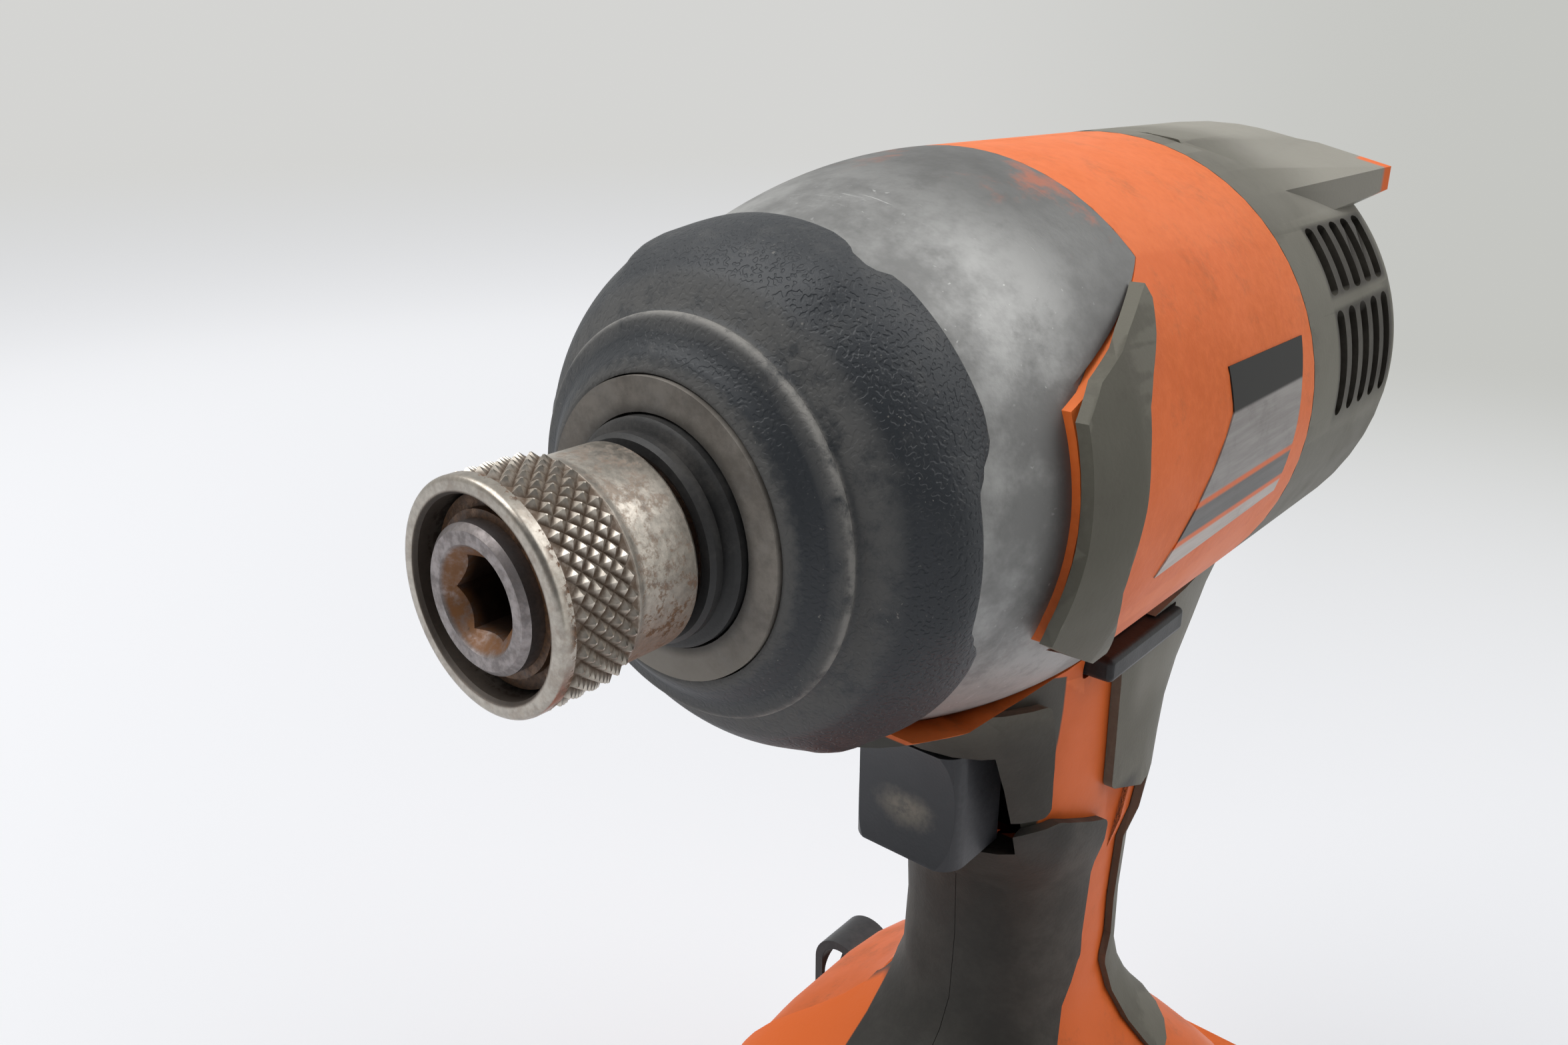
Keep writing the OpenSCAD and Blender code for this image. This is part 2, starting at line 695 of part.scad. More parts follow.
module nose_bumper() color("#23272c") difference() {
  turned() difference() {
    bumper_outline();
    nose_outline(seat_gap);
  }
  for (s = [90, 270]) radial(s, bumper_end - scallop_h + scallop_r, scallop_r);
  for (s = [0, 180], n = [-1, 1]) radial(s + n * notch_turn, bumper_end - notch_h + notch_r, notch_r);
}

// Hammer mechanism
module hammer() color("#55585c") difference() {
  union() {
    disc(hammer_r, hammer_t, hammer_l);
    axial(lug_t) intersection() {
      difference() {
        cylinder(r = hammer_r, h = hammer_t - lug_t + overrun);
        translate([0, 0, -overrun]) cylinder(r = lug_in_r, h = hammer_t - lug_t + 3 * overrun);
      }
      translate([-ear_w / 2, -hammer_r, 0]) cube([ear_w, 2 * hammer_r, hammer_t - lug_t + overrun]);
    }
  }
  disc(spindle_r + run_gap, hammer_t - overrun, hammer_l + 2 * overrun);
  tube(spring_r + hammer_wire / 2 + pocket_room, pocket_in_r, spring_seat_t, spring_pocket + overrun);
  for (s = [-1, 1]) axial(hammer_t - overrun) translate([0, s * cam_orbit_r, 0])
    cylinder(r = cam_ball_r + seat_gap, h = cam_t + cam_ball_r - hammer_t + overrun + body_gap);
}

module hammer_spring() color("#3c3f44") axial(spring_seat_t + seat_gap)
  coil(spring_r, hammer_wire, hammer_spring_l, hammer_turns);

module cam_balls() color("silver") for (s = [-1, 1])
  translate([0, cam_t - nose_reach, axis_h + s * cam_orbit_r]) sphere(r = cam_ball_r);

// Tilted ring groove whose foremost point holds a cam ball
module cam_groove() {
  ring = cam_orbit_r / cos(cam_tilt);
  intersection() {
    translate([0, 0, ring * sin(cam_tilt)]) rotate([cam_tilt, 0, 0]) rotate_extrude()
      translate([ring, 0]) circle(r = cam_ball_r + seat_gap);
    translate([-case_r, -case_d - cam_ball_r / 2, -case_r]) cube(case_d);
  }
}

module cam_spindle() color("#606469") difference() {
  union() {
    disc(pilot_r, ear_end - pilot_l + edge, hammer_t - ear_end + pilot_l);
    disc(spindle_r, hammer_t, carrier_t - hammer_t);
    disc(carrier_r, carrier_t, carrier_end - carrier_t);
    disc(carrier_journal_r - run_gap, carrier_end, bearing_w);
  }
  axial(carrier_t + cheek) translate([-carrier_r - overrun, -gear_module * (planet_teeth / 2 + tip_share) - edge, 0])
    cube([2 * carrier_r + 2 * overrun, gear_module * (planet_teeth + 2 * tip_share) + 2 * edge, slot_l]);
  disc(hollow_r, carrier_t + cheek, carrier_end - carrier_t + bearing_w);
  for (s = [-1, 1]) axial(carrier_t - overrun) translate([s * planet_orbit_r, 0, 0])
    cylinder(r = pin_r, h = carrier_end - carrier_t + 2 * overrun);
  for (s = [0, 180]) axial(cam_t) rotate(s) cam_groove();
}

// Reduction gear
module planet_pins() color("silver") for (s = [-1, 1]) axial(carrier_t) translate([s * planet_orbit_r, 0, 0])
  cylinder(r = pin_r, h = carrier_end - carrier_t);

module planet_gear(s) axial(gear_t) translate([s * planet_orbit_r, 0, 0]) difference() {
  linear_extrude(gear_w) rotate(180 / planet_teeth) gear_outline(planet_teeth,
    gear_module * (planet_teeth / 2 + tip_share), gear_module * (planet_teeth / 2 - root_share),
    tooth_slack_share * gear_module);
  translate([0, 0, -overrun]) cylinder(r = pin_r + run_gap, h = gear_w + 2 * overrun);
}

module planet_gear_left() color("#8a8d91") planet_gear(1);

module planet_gear_right() color("#8a8d91") planet_gear(-1);

module ring_gear() color("#7c7f84") axial(ring_t) difference() {
  cylinder(r = ring_r, h = slot_l);
  translate([0, 0, -overrun]) linear_extrude(slot_l + 2 * overrun) rotate(180 / ring_teeth)
    gear_outline(ring_teeth, gear_module * (ring_teeth / 2 + root_share), ring_tip_r,
      -tooth_slack_share * gear_module);
}

module gear_plate() color("#4b4e52") difference() {
  turned() polygon([[carrier_r + hammer_gap, case_end_t], [spigot_r, case_end_t],
    [spigot_r, case_end_t + flange_l], [bearing_r + shell, case_end_t + flange_l],
    [bearing_r + shell, can_t], [motor_bearing_r + run_gap, can_t], [motor_bearing_r + run_gap, can_t - plate_web + edge],
    [bearing_r, can_t - plate_web + edge], [bearing_r, bearing_t], [carrier_r + hammer_gap, bearing_t]]);
  at_plate_screws() cylinder(r = plate_screw_r, h = flange_l + overrun);
}

module plate_screws() color("silver") at_plate_screws() {
  translate([0, 0, flange_l - plate_screw_l]) cylinder(r = plate_screw_r, h = plate_screw_l);
  translate([0, 0, flange_l]) cylinder(r = spigot_wall / 2, h = plate_screw_r);
}

module spindle_bearing() color("silver") difference() {
  tube(bearing_r, carrier_journal_r, bearing_t, bearing_w);
  tube(bearing_r - bearing_race, carrier_journal_r + bearing_race, bearing_t - overrun, overrun + edge);
}

module sun_pinion() color("silver") axial(gear_t) difference() {
  linear_extrude(gear_w + cheek) gear_outline(sun_teeth, sun_r, gear_module * (sun_teeth / 2 - root_share),
    tooth_slack_share * gear_module);
  translate([0, 0, -overrun]) cylinder(r = shaft_r, h = gear_w + cheek + 2 * overrun);
}

// Motor
module motor_shaft() color("silver") disc(shaft_r, gear_t, fan_t + fan_w - gear_t);

module armature() color("#9a5b2c") difference() {
  union() {
    difference() {
      disc(armature_r, core_t, core_l);
      axial(core_t - overrun) for (k = [1 : armature_slots]) rotate(360 * k / armature_slots)
        translate([winding_r, -slot_w / 2, 0]) cube([winding_r, slot_w, core_l + 2 * overrun]);
    }
    turned() polygon([[0, core_t - winding_l], [winding_r - winding_l, core_t - winding_l],
      [winding_r, core_t], [winding_r, core_t + core_l], [winding_r - winding_l, commutator_t],
      [0, commutator_t]]);
  }
  disc(shaft_r, core_t - winding_l - overrun, core_l + 2 * winding_l + 2 * overrun);
}

module commutator() color("#b87333") difference() {
  tube(commutator_r, shaft_r, commutator_t, commutator_l);
  axial(commutator_t - overrun) for (k = [1 : armature_slots]) rotate(360 * k / armature_slots)
    translate([commutator_r - edge, -edge / 2, 0]) cube([2 * edge, edge, commutator_l + 2 * overrun]);
}

module cooling_fan() color("#222222") difference() {
  union() {
    disc(fan_r, fan_t, 2 * edge);
    disc(commutator_r, fan_t, fan_w);
    axial(fan_t) for (k = [1 : fan_blades]) rotate(360 * k / fan_blades)
      translate([commutator_r - edge, -edge, 0]) cube([fan_r - commutator_r, 2 * edge, fan_w]);
  }
  disc(shaft_r, fan_t - overrun, fan_w + 2 * overrun);
}

module motor_can() color("#8d9196") turned() polygon([[motor_bearing_r + run_gap, can_t], [can_r, can_t],
  [can_r, can_end], [can_bore_r, can_end], [can_bore_r, can_t + can_wall], [motor_bearing_r + run_gap, can_t + can_wall]]);

module motor_magnets() color("#3a3a3c") for (s = [0, 180]) axial(core_t) rotate(s - magnet_arc / 2)
  rotate_extrude(angle = magnet_arc) translate([can_bore_r - magnet_h, 0]) square([magnet_h - run_gap, core_l]);

module end_bell() color("#2d2f31") difference() {
  turned() polygon([[commutator_r + hammer_gap, commutator_t], [can_bore_r - run_gap, commutator_t],
    [can_bore_r - run_gap, can_end], [motor_bearing_r + run_gap, can_end],
    [motor_bearing_r + run_gap, can_end - motor_bearing_w], [shaft_r + edge, can_end - motor_bearing_w],
    [shaft_r + edge, can_end - motor_bearing_w - bell_wall / 2], [commutator_r + hammer_gap, can_end - motor_bearing_w - bell_wall / 2]]);
  axial(commutator_t - overrun) translate([-brush_slot / 2, -commutator_r - brush_l, 0])
    cube([brush_slot, 2 * commutator_r + 2 * brush_l, commutator_l + overrun]);
}

module carbon_brushes() color("#444444") for (s = [0, 180]) axial(commutator_t) rotate(s)
  translate([-brush_w / 2, commutator_r + run_gap, 0]) cube([brush_w, brush_l - run_gap, commutator_l - edge]);

module motor_bearings() color("silver") {
  tube(motor_bearing_r, shaft_r + run_gap, can_t - plate_web + edge, motor_bearing_w - edge);
  tube(motor_bearing_r, shaft_r + run_gap, can_end - motor_bearing_w, motor_bearing_w);
}

// Smooth interpolation of a table's column between its rows
function row_slope(rows, i, c) = let (a = rows[max(i - 1, 0)], b = rows[min(i + 1, len(rows) - 1)])
  (b[c] - a[c]) / (b[0] - a[0]);
function row_under(rows, z, i = 0) = i >= len(rows) - 2 || z < rows[i + 1][0] ? i : row_under(rows, z, i + 1);
function smooth_at(rows, z, c) = let (i = row_under(rows, z), h = rows[i + 1][0] - rows[i][0], s = (z - rows[i][0]) / h)
  rows[i][c] * (1 + 2 * s) * pow(1 - s, 2) + rows[i + 1][c] * (3 - 2 * s) * s * s
  + h * row_slope(rows, i, c) * s * pow(1 - s, 2) - h * row_slope(rows, i + 1, c) * s * s * (1 - s);
function lobe(v, p) = sign(v) * pow(abs(v), p);

// Grip, neck and foot as one smooth loft of superellipse rings, grown by extra
module grip_loft(extra = 0, low_z = foot_z, steps = loft_steps) {
  heights = [for (i = [0 : len(grip_rows) - 2], s = [0 : steps - 1])
    mix(grip_rows[i][0], grip_rows[i + 1][0], s / steps)];
  zs = concat([low_z], [for (z = heights) if (z > low_z + edge) z], [neck_top_z]);
  k = loft_sides;
  points = [for (z = zs) let (front = smooth_at(grip_rows, z, 1) + extra, rear = smooth_at(grip_rows, z, 2) + extra,
      half = smooth_at(grip_rows, z, 3) + extra, power = 2 / smooth_at(grip_rows, z, 4))
    for (j = [0 : k - 1]) [half * lobe(cos(360 * (j + 1 / 2) / k), power),
      (rear - front) / 2 + (rear + front) / 2 * lobe(sin(360 * (j + 1 / 2) / k), power), z]];
  n = len(zs);
  sides = [for (i = [0 : n - 2], j = [0 : k - 1])
    let (a = i * k + j, b = i * k + (j + 1) % k) each [[a, a + k, b], [b, a + k, b + k]]];
  ends = [for (j = [1 : k - 2]) each [[0, j, j + 1], [(n - 1) * k, (n - 1) * k + j + 1, (n - 1) * k + j]]];
  polyhedron(points = points, faces = concat(sides, ends));
}

// Side outline through the whole width, from shares of length and radius at the band's front
function side_points(shares, grow = 0) = [for (p = shares) [band_t - nose_reach + p[0] * tusk_l - grow,
  axis_h + p[1] * barrel_r + (grow > 0 ? p[2] * grow : 0)]];
module side_cut(points) rotate([90, 0, 90]) linear_extrude(pack_l, center = true) polygon(points);

// The case's outside grown by extra, but no wider than the limit
module case_skin(extra, limit) turned() intersection() {
  nose_outline(extra, 96);
  square([limit, cap_t]);
}

module barrel() intersection() {
  union() {
    disc(barrel_r, band_t - edge, band_l + edge);
    case_skin(tusk_h, barrel_r);
    intersection() {
      case_skin(chin_h, barrel_r);
      translate([-case_d, -nose_reach, axis_h - case_d - chin_share * barrel_r]) cube([2 * case_d, nose_reach, case_d]);
    }
  }
  side_cut(concat(side_points(barrel_shares), [[cap_t - nose_reach, axis_h - case_d], [cap_t - nose_reach, axis_h + case_d]]));
}

module screw_bosses() for (p = screw_places) hull() {
  across(boss_r, grip_w / 2, p[0], p[1], small_sides);
  across(boss_r - boss_wall, grip_w, p[0], p[1], small_sides);
}

module switch_ribs() for (s = [-1, 1]) block(grip_w, switch_l - 4 * rib_l, rib_l, -switch_front + rib_l, trigger_z + s * switch_h / 3);

module trigger_opening() hull() for (y = [trigger_front + foot_front, trigger_back - trigger_travel - edge], s = [-1, 1])
  across(edge, trigger_w + 2 * trigger_gap, -y, trigger_z + s * trigger_h / 2, small_sides / 2);

module selector_opening() hull() for (y = [-1, 1], z = [-1, 1])
  across(edge, pack_l, selector_y + y * (selector_l / 2 + body_gap - edge),
    selector_z + z * (selector_h / 2 + body_gap - edge), small_sides / 2);

// T-shaped slide way of the battery pack, open at the foot's front
module rail_way() {
  block(rail_w + 2 * body_gap, rail_front + overrun * 4 + rail_back + terminal_l + body_gap,
    rail_neck_h + rail_flange_h + body_gap, -rail_front - 4 * overrun, foot_z - overrun);
  block(rail_w + 2 * rail_lip + 2 * body_gap, rail_front + overrun * 4 + rail_back + terminal_l + body_gap,
    rail_flange_h + 2 * body_gap, -rail_front - 4 * overrun, foot_z + rail_neck_h - 2 * body_gap);
}

module housing_half(s) difference() {
  intersection() {
    union() {
      difference() {
        union() {
          barrel();
          grip_loft();
        }
        disc(barrel_r - shell, band_t - overrun, cap_t - band_t + 2 * overrun);
        difference() {
          grip_loft(-shell, solid_foot_z, 1);
          disc(barrel_r, band_t - tusk_l, pack_l);
        }
      }
      intersection() {
        union() {
          screw_bosses();
          switch_ribs();
        }
        grip_loft();
      }
      tube(barrel_r - shell + edge, can_r + seat_gap, can_t + rib_l, rib_l);
      cap_posts(post_r, cap_t - post_lead, post_lead);
    }
    translate([s * seat_gap / 2, 0, 0]) side_of(s);
  }
  turned() intersection() {
    nose_outline(seat_gap, 96);
    square([tusk_in_r + seat_gap, cap_t]);
  }
  disc(barrel_r + seat_gap, cap_t, pack_l);
  block(switch_w + 2 * seat_gap, switch_l + 2 * seat_gap, switch_h, -switch_front - seat_gap, trigger_z - switch_h / 2);
  trigger_opening();
  selector_opening();
  rail_way();
  cap_posts(screw_r + 2 * seat_gap, cap_t - post_lead - overrun, post_lead + 2 * overrun);
  translate([s * foot_w / 2, hook_y, hook_z]) rotate([0, -90 * s, 0])
    cylinder(r = insert_r + seat_gap, h = insert_l + insert_sink);
  for (p = screw_places) {
    translate([screw_tip + overrun, p[0], p[1]]) rotate([0, -90, 0])
      cylinder(r = screw_r + 2 * seat_gap, h = pack_w, $fn = small_sides);
    head_hole(p);
  }
}

module head_hole(p) translate([-screw_seat, p[0], p[1]]) rotate([0, -90, 0])
  cylinder(r = screw_head_r + 2 * seat_gap, h = pack_w, $fn = small_sides);

module housing_left() color("#e8702f") housing_half(1);

module housing_right() color("#e8702f") housing_half(-1);

// Rubber skins: the loft's outside, cut to rounded blocks
module skin_blocks() for (b = skin_blocks_shares) hull() for (p = b)
  across(skin_corner, pack_l, p[0] * grip_depth, foot_z + p[1] * grip_h, small_sides);

module grip_skin(s) difference() {
  intersection() {
    grip_loft(skin_h);
    skin_blocks();
    translate([s * seat_gap / 2, 0, 0]) side_of(s);
  }
  grip_loft(seat_gap);
  disc(barrel_r + seat_gap, band_t - 2 * tusk_l, cap_end);
  turned() nose_outline(seat_gap, 96);
  trigger_opening();
  selector_opening();
  for (p = screw_places) head_hole(p);
}

module grip_left() color("#5d5d57") grip_skin(1);

module grip_right() color("#5d5d57") grip_skin(-1);

module side_panel(s) intersection() {
  difference() {
    case_skin(tusk_h + panel_h, barrel_r + panel_h);
    case_skin(tusk_h + seat_gap, barrel_r + seat_gap);
  }
  side_cut(side_points(panel_shares));
  translate([s * barrel_r / 2, 0, 0]) side_of(s);
}

module side_panel_left() color("#6f6f68") side_panel(1);

module side_panel_right() color("#6f6f68") side_panel(-1);

// Rear cap with hood and side vents
module cap_form(inset, lead = 0) turned() {
  translate([0, cap_t + seat_gap - lead]) square([barrel_r - inset, cap_end - cap_round - cap_t - seat_gap + lead]);
  translate([0, cap_t + seat_gap - lead]) square([barrel_r - cap_round, cap_end - inset - cap_t - seat_gap + lead]);
  translate([barrel_r - cap_round, cap_end - cap_round]) circle(r = cap_round - inset);
}

module hood_section(half, t) axial(t) linear_extrude(edge) polygon([[-half, -barrel_r + hood_drop + hood_eave],
  [-half, -barrel_r + hood_drop], [-half / 2, -barrel_r], [half / 2, -barrel_r], [half, -barrel_r + hood_drop],
  [half, -barrel_r + hood_drop + hood_eave]]);

module hood() hull() {
  hood_section(hood_half_w - hood_taper, cap_t + hood_lead);
  hood_section(hood_half_w, cap_end - hood_eave);
}

module vent(t, low, high) translate([0, t - nose_reach, axis_h]) {
  for (z = [low, high]) across(vent_w / 2, pack_w, 0, z);
  translate([-pack_w / 2, -vent_w / 2, low]) cube([pack_w, vent_w, high - low]);
}

module vents() for (k = [0 : vent_rows - 1]) {
  t = cap_end - cap_round - vent_w - k * vent_pitch;
  vent(t, vent_bar, vent_top);
  vent(t, vent_low, -vent_bar / 2);
}

module rear_cap() color("#63645d") difference() {
  union() {
    difference() {
      union() {
        cap_form(0);
        hood();
      }
      cap_form(shell, overrun);
    }
    tube(barrel_r - shell + edge, can_r + seat_gap, can_end - 2 * rib_l, rib_l);
    cap_posts(post_r, cap_t + body_gap, cap_end - shell - cap_t);
  }
  vents();
  cap_posts(screw_r + seat_gap, cap_t - overrun, cap_end - cap_t + 2 * overrun);
  cap_posts(screw_head_r + seat_gap, cap_end - 2 * screw_head_h, 2 * screw_head_h + overrun);
}

module cap_posts(r, t, l) for (s = [-1, 1]) axial(t) rotate(90 - s * post_turn) translate([post_pitch_r, 0, 0])
  cylinder(r = r, h = l);

module cap_screws() color("#333333") {
  cap_posts(screw_r, cap_t - post_lead + edge, cap_end - 2 * screw_head_h - cap_t + post_lead - edge);
  cap_posts(screw_head_r, cap_end - 2 * screw_head_h, screw_head_h);
}

module housing_screws() color("#2b2b2b") for (p = screw_places) {
  translate([-screw_seat, p[0], p[1]]) rotate([0, 90, 0]) cylinder(r = screw_r, h = screw_seat + screw_tip);
  translate([-screw_seat - screw_head_h, p[0], p[1]]) rotate([0, 90, 0]) cylinder(r = screw_head_r, h = screw_head_h);
}

// Trigger, switch and selector
module trigger() color("#1b1d20") {
  intersection() {
    translate([-trigger_w / 2, 0, 0]) rotate([90, 0, 90]) linear_extrude(trigger_w) difference() {
      translate([-trigger_front, trigger_z - trigger_h / 2]) square([trigger_l, trigger_h]);
      translate([-trigger_front - finger_r + trigger_dish, trigger_z]) circle(r = finger_r);
    }
    translate([0, -trigger_front + trigger_w / 2, trigger_z - trigger_h]) linear_extrude(2 * trigger_h)
      rounded(trigger_w, trigger_w, trigger_nose_r);
  }
  translate([0, -trigger_back, trigger_z]) rotate([-90, 0, 0]) cylinder(r = plunger_r, h = plunger_l);
}

module trigger_spring() color("silver") translate([0, -trigger_back + seat_gap, trigger_z]) rotate([-90, 0, 0])
  coil(spring_coil_r, trigger_wire, trigger_spring_l, trigger_turns);

module trigger_switch() color("#303236") difference() {
  block(switch_w, switch_l, switch_h, -switch_front, trigger_z - switch_h / 2);
  translate([0, -switch_front - overrun, trigger_z]) rotate([-90, 0, 0])
    cylinder(r = plunger_r + run_gap, h = plunger_l + overrun);
}

module selector() color("#151515") translate([selector_reach, 0, 0]) rotate([0, -90, 0])
  linear_extrude(2 * selector_reach - selector_travel) translate([selector_z, selector_y])
    rounded(selector_h, selector_l, selector_edge + edge);

// Foot fittings
module terminal_block() color("#2a2c2e") {
  block(rail_w, terminal_l, rail_neck_h + rail_flange_h - body_gap, rail_back + body_gap, foot_z + body_gap);
  for (x = blade_places) translate([x, 0, 0])
    block(blade_w, blade_l + overrun, blade_h, rail_back - blade_l + body_gap, foot_z + rail_neck_h / 2);
}

module belt_hook() color("#26282a") difference() {
  translate([0, hook_y + hook_w / 2, 0]) rotate([90, 0, 0]) linear_extrude(hook_w) {
    translate([-hook_x - hook_strip, hook_z - hook_tail / 2]) square([hook_strip, hook_tail]);
    translate([-hook_leg_x - hook_strip, hook_tip_z]) square([hook_strip, hook_z - hook_tip_z + hook_tail / 2]);
    translate([-hook_x - hook_strip - hook_bend, hook_z + hook_tail / 2]) intersection() {
      difference() {
        circle(r = hook_bend + hook_strip);
        circle(r = hook_bend);
      }
      translate([-hook_w, 0]) square(2 * hook_w);
    }
  }
  from_hook(hook_x - overrun) cylinder(r = hook_screw_r + seat_gap, h = hook_strip + 2 * overrun);
  from_hook(hook_leg_x - overrun) cylinder(r = hook_head_r + edge, h = hook_strip + 2 * overrun);
}

module from_hook(x) translate([-x, hook_y, hook_z]) rotate([0, -90, 0]) children();

module hook_screw() color("#3a3a3a") {
  from_hook(foot_w / 2 - insert_l)
    cylinder(r = hook_screw_r, h = hook_x + hook_strip - foot_w / 2 + insert_l);
  from_hook(hook_x + hook_strip) cylinder(r = hook_head_r, h = hook_head_h);
}

module hook_inserts() color("#b5893f") for (s = [-1, 1])
  translate([s * (foot_w / 2 - insert_sink), hook_y, hook_z]) rotate([0, -90 * s, 0]) difference() {
    cylinder(r = insert_r, h = insert_l);
    translate([0, 0, -overrun]) cylinder(r = insert_bore / 2, h = insert_l + 2 * overrun);
  }

// Battery pack
module pack_plan(inset = 0) translate([0, pack_y]) rounded(pack_w - 2 * inset, pack_l - 2 * inset, pack_corner - inset);

module at_pillars(z) for (x = [-1, 1], y = [-1, 1]) translate([x * pillar_x, pack_y + y * pillar_y, z]) children();

module battery_base() color("#2c2d2e") difference() {
  union() {
    difference() {
      linear_extrude(base_h) pack_plan();
      translate([0, 0, pack_wall]) linear_extrude(base_h) pack_plan(pack_wall);
    }
    at_pillars(pack_wall - edge) cylinder(r = pillar_r, h = base_h - pack_wall + edge);
  }
  at_pillars(-overrun) cylinder(r = screw_r, h = base_h + 2 * overrun);
  at_pillars(-overrun) cylinder(r = pillar_r - edge, h = screw_head_h + overrun);
}

module latch_pocket(s) translate([s > 0 ? pack_w / 2 - latch_depth + latch_proud - latch_room : -pack_w / 2 - overrun,
  latch_y - latch_l / 2 - body_gap, base_h + (lid_top - base_h - latch_h) / 2 - body_gap])
  cube([latch_depth - latch_proud + latch_room + overrun, latch_l + 2 * body_gap, latch_h + 2 * body_gap]);

module battery_lid() color("#e8702f") difference() {
  union() {
    translate([0, 0, base_h]) linear_extrude(lid_top - base_h) pack_plan();
    block(rail_w, rail_front + rail_back, rail_top - lid_top + edge, -rail_front, lid_top - edge);
    block(rail_w + 2 * rail_lip, rail_front + rail_back, rail_flange_h, -rail_front, rail_top - rail_flange_h);
  }
  for (s = [-1, 1]) latch_pocket(s);
  for (x = blade_places) translate([x, 0, 0])
    block(blade_slot, blade_l + 2 * overrun, rail_top - lid_top + overrun, rail_back - blade_l - overrun, foot_z + body_gap);
  at_pillars(base_h - overrun) cylinder(r = screw_r, h = lid_top - base_h - edge);
}

module battery_cells() color("#3f7f6a") for (y = cell_places) across(cell_d / 2, cell_l, y, cell_z);

module cell_holder() color("#4a4a48") for (s = [-1, 1]) difference() {
  translate([s > 0 ? cell_l / 2 - holder_w : -holder_x, pack_y - cell_count * cell_pitch / 2, pack_wall])
    cube([holder_x - cell_l / 2 + holder_w, cell_count * cell_pitch, cell_d + 2 * body_gap]);
  for (y = cell_places) across(cell_d / 2 + run_gap, pack_w, y, cell_z);
}

module battery_board() color("#2e6b3c") block(cell_l, cell_count * cell_pitch - 2 * holder_w, board_h,
  pack_y - cell_count * cell_pitch / 2 + holder_w, pack_wall + cell_d + 2 * body_gap);

module battery_contacts() color("#c08a3e") for (x = blade_places, s = [-1, 1])
  translate([x + s * (blade_slot - leaf_w) / 2, 0, 0])
    block(leaf_w, blade_l, blade_h, rail_back - blade_l, foot_z + body_gap);

module battery_screws() color("silver") {
  at_pillars(screw_head_h) cylinder(r = screw_r, h = base_h);
  at_pillars(edge) cylinder(r = pillar_r - edge, h = screw_head_h - edge);
}

module latch(s) translate([s * (pack_w / 2 + latch_proud) - (s > 0 ? latch_depth : 0), latch_y - latch_l / 2,
  base_h + (lid_top - base_h - latch_h) / 2]) cube([latch_depth, latch_l, latch_h]);

module latch_left() color("#1f2022") latch(1);

module latch_right() color("#1f2022") latch(-1);

module latch_spring(s) translate([s * (pack_w / 2 + latch_proud - latch_depth - seat_gap), latch_y, (base_h + lid_top) / 2])
  rotate([0, -90 * s, 0]) coil(latch_spring_r, latch_wire, latch_room - 2 * seat_gap, latch_turns);

module latch_spring_left() color("silver") latch_spring(1);

module latch_spring_right() color("silver") latch_spring(-1);

// Least gap between the curls of each spring
echo(sleeve_spring_gap = least_gap(coil_path(sleeve_spring_r, sleeve_wire, sleeve_spring_l, sleeve_turns), sleeve_wire));
echo(hammer_spring_gap = least_gap(coil_path(spring_r, hammer_wire, hammer_spring_l, hammer_turns), hammer_wire));
echo(trigger_spring_gap = least_gap(coil_path(spring_coil_r, trigger_wire, trigger_spring_l, trigger_turns), trigger_wire));
echo(latch_spring_gap = least_gap(coil_path(latch_spring_r, latch_wire, latch_room - 2 * seat_gap, latch_turns), latch_wire));

anvil();
lock_balls();
sleeve();
sleeve_spring();
sleeve_washer();
sleeve_clip();
nose_seal();
nose_bumper();
hammer_case();
anvil_bush();
hammer();
hammer_spring();
cam_balls();
cam_spindle();
planet_pins();
planet_gear_left();
planet_gear_right();
ring_gear();
gear_plate();
plate_screws();
spindle_bearing();
sun_pinion();
motor_shaft();
armature();
commutator();
cooling_fan();
motor_can();
motor_magnets();
end_bell();
carbon_brushes();
motor_bearings();
housing_left();
housing_right();
grip_left();
grip_right();
side_panel_left();
side_panel_right();
rear_cap();
cap_screws();
housing_screws();
trigger();
trigger_spring();
trigger_switch();
selector();
terminal_block();
belt_hook();
hook_screw();
hook_inserts();
battery_base();
battery_lid();
battery_cells();
cell_holder();
battery_board();
battery_contacts();
battery_screws();
latch_left();
latch_right();
latch_spring_left();
latch_spring_right();
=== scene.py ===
"""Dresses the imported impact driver: detailed pieces, finishes, studio light and camera."""

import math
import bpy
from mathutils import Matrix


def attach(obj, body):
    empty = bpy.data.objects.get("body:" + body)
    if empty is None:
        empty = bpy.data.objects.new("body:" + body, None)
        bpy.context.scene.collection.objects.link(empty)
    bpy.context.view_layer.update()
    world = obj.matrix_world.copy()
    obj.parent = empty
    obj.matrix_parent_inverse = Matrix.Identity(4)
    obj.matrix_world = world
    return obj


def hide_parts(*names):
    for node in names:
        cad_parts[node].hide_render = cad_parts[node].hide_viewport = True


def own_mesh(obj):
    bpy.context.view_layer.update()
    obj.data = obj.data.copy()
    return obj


bl_info = {
    "name": "Impact driver",
    "version": (1, 0, 0),
    "blender": (4, 5, 0),
    "location": "View3D > Sidebar > Driver",
    "description": "Detailed pieces, finishes, studio light and camera for the packed impact driver",
    "category": "Object",
}

from types import SimpleNamespace

import bpy
from bpy.props import FloatProperty, FloatVectorProperty, IntProperty, PointerProperty
from mathutils import Matrix, Vector

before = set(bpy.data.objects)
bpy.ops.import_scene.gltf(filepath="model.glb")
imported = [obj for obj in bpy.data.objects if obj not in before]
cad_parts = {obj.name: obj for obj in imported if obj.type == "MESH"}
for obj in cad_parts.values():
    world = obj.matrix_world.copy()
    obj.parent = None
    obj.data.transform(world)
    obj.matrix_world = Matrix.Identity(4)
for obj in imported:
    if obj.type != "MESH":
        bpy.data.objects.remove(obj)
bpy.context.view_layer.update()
MM = 0.001

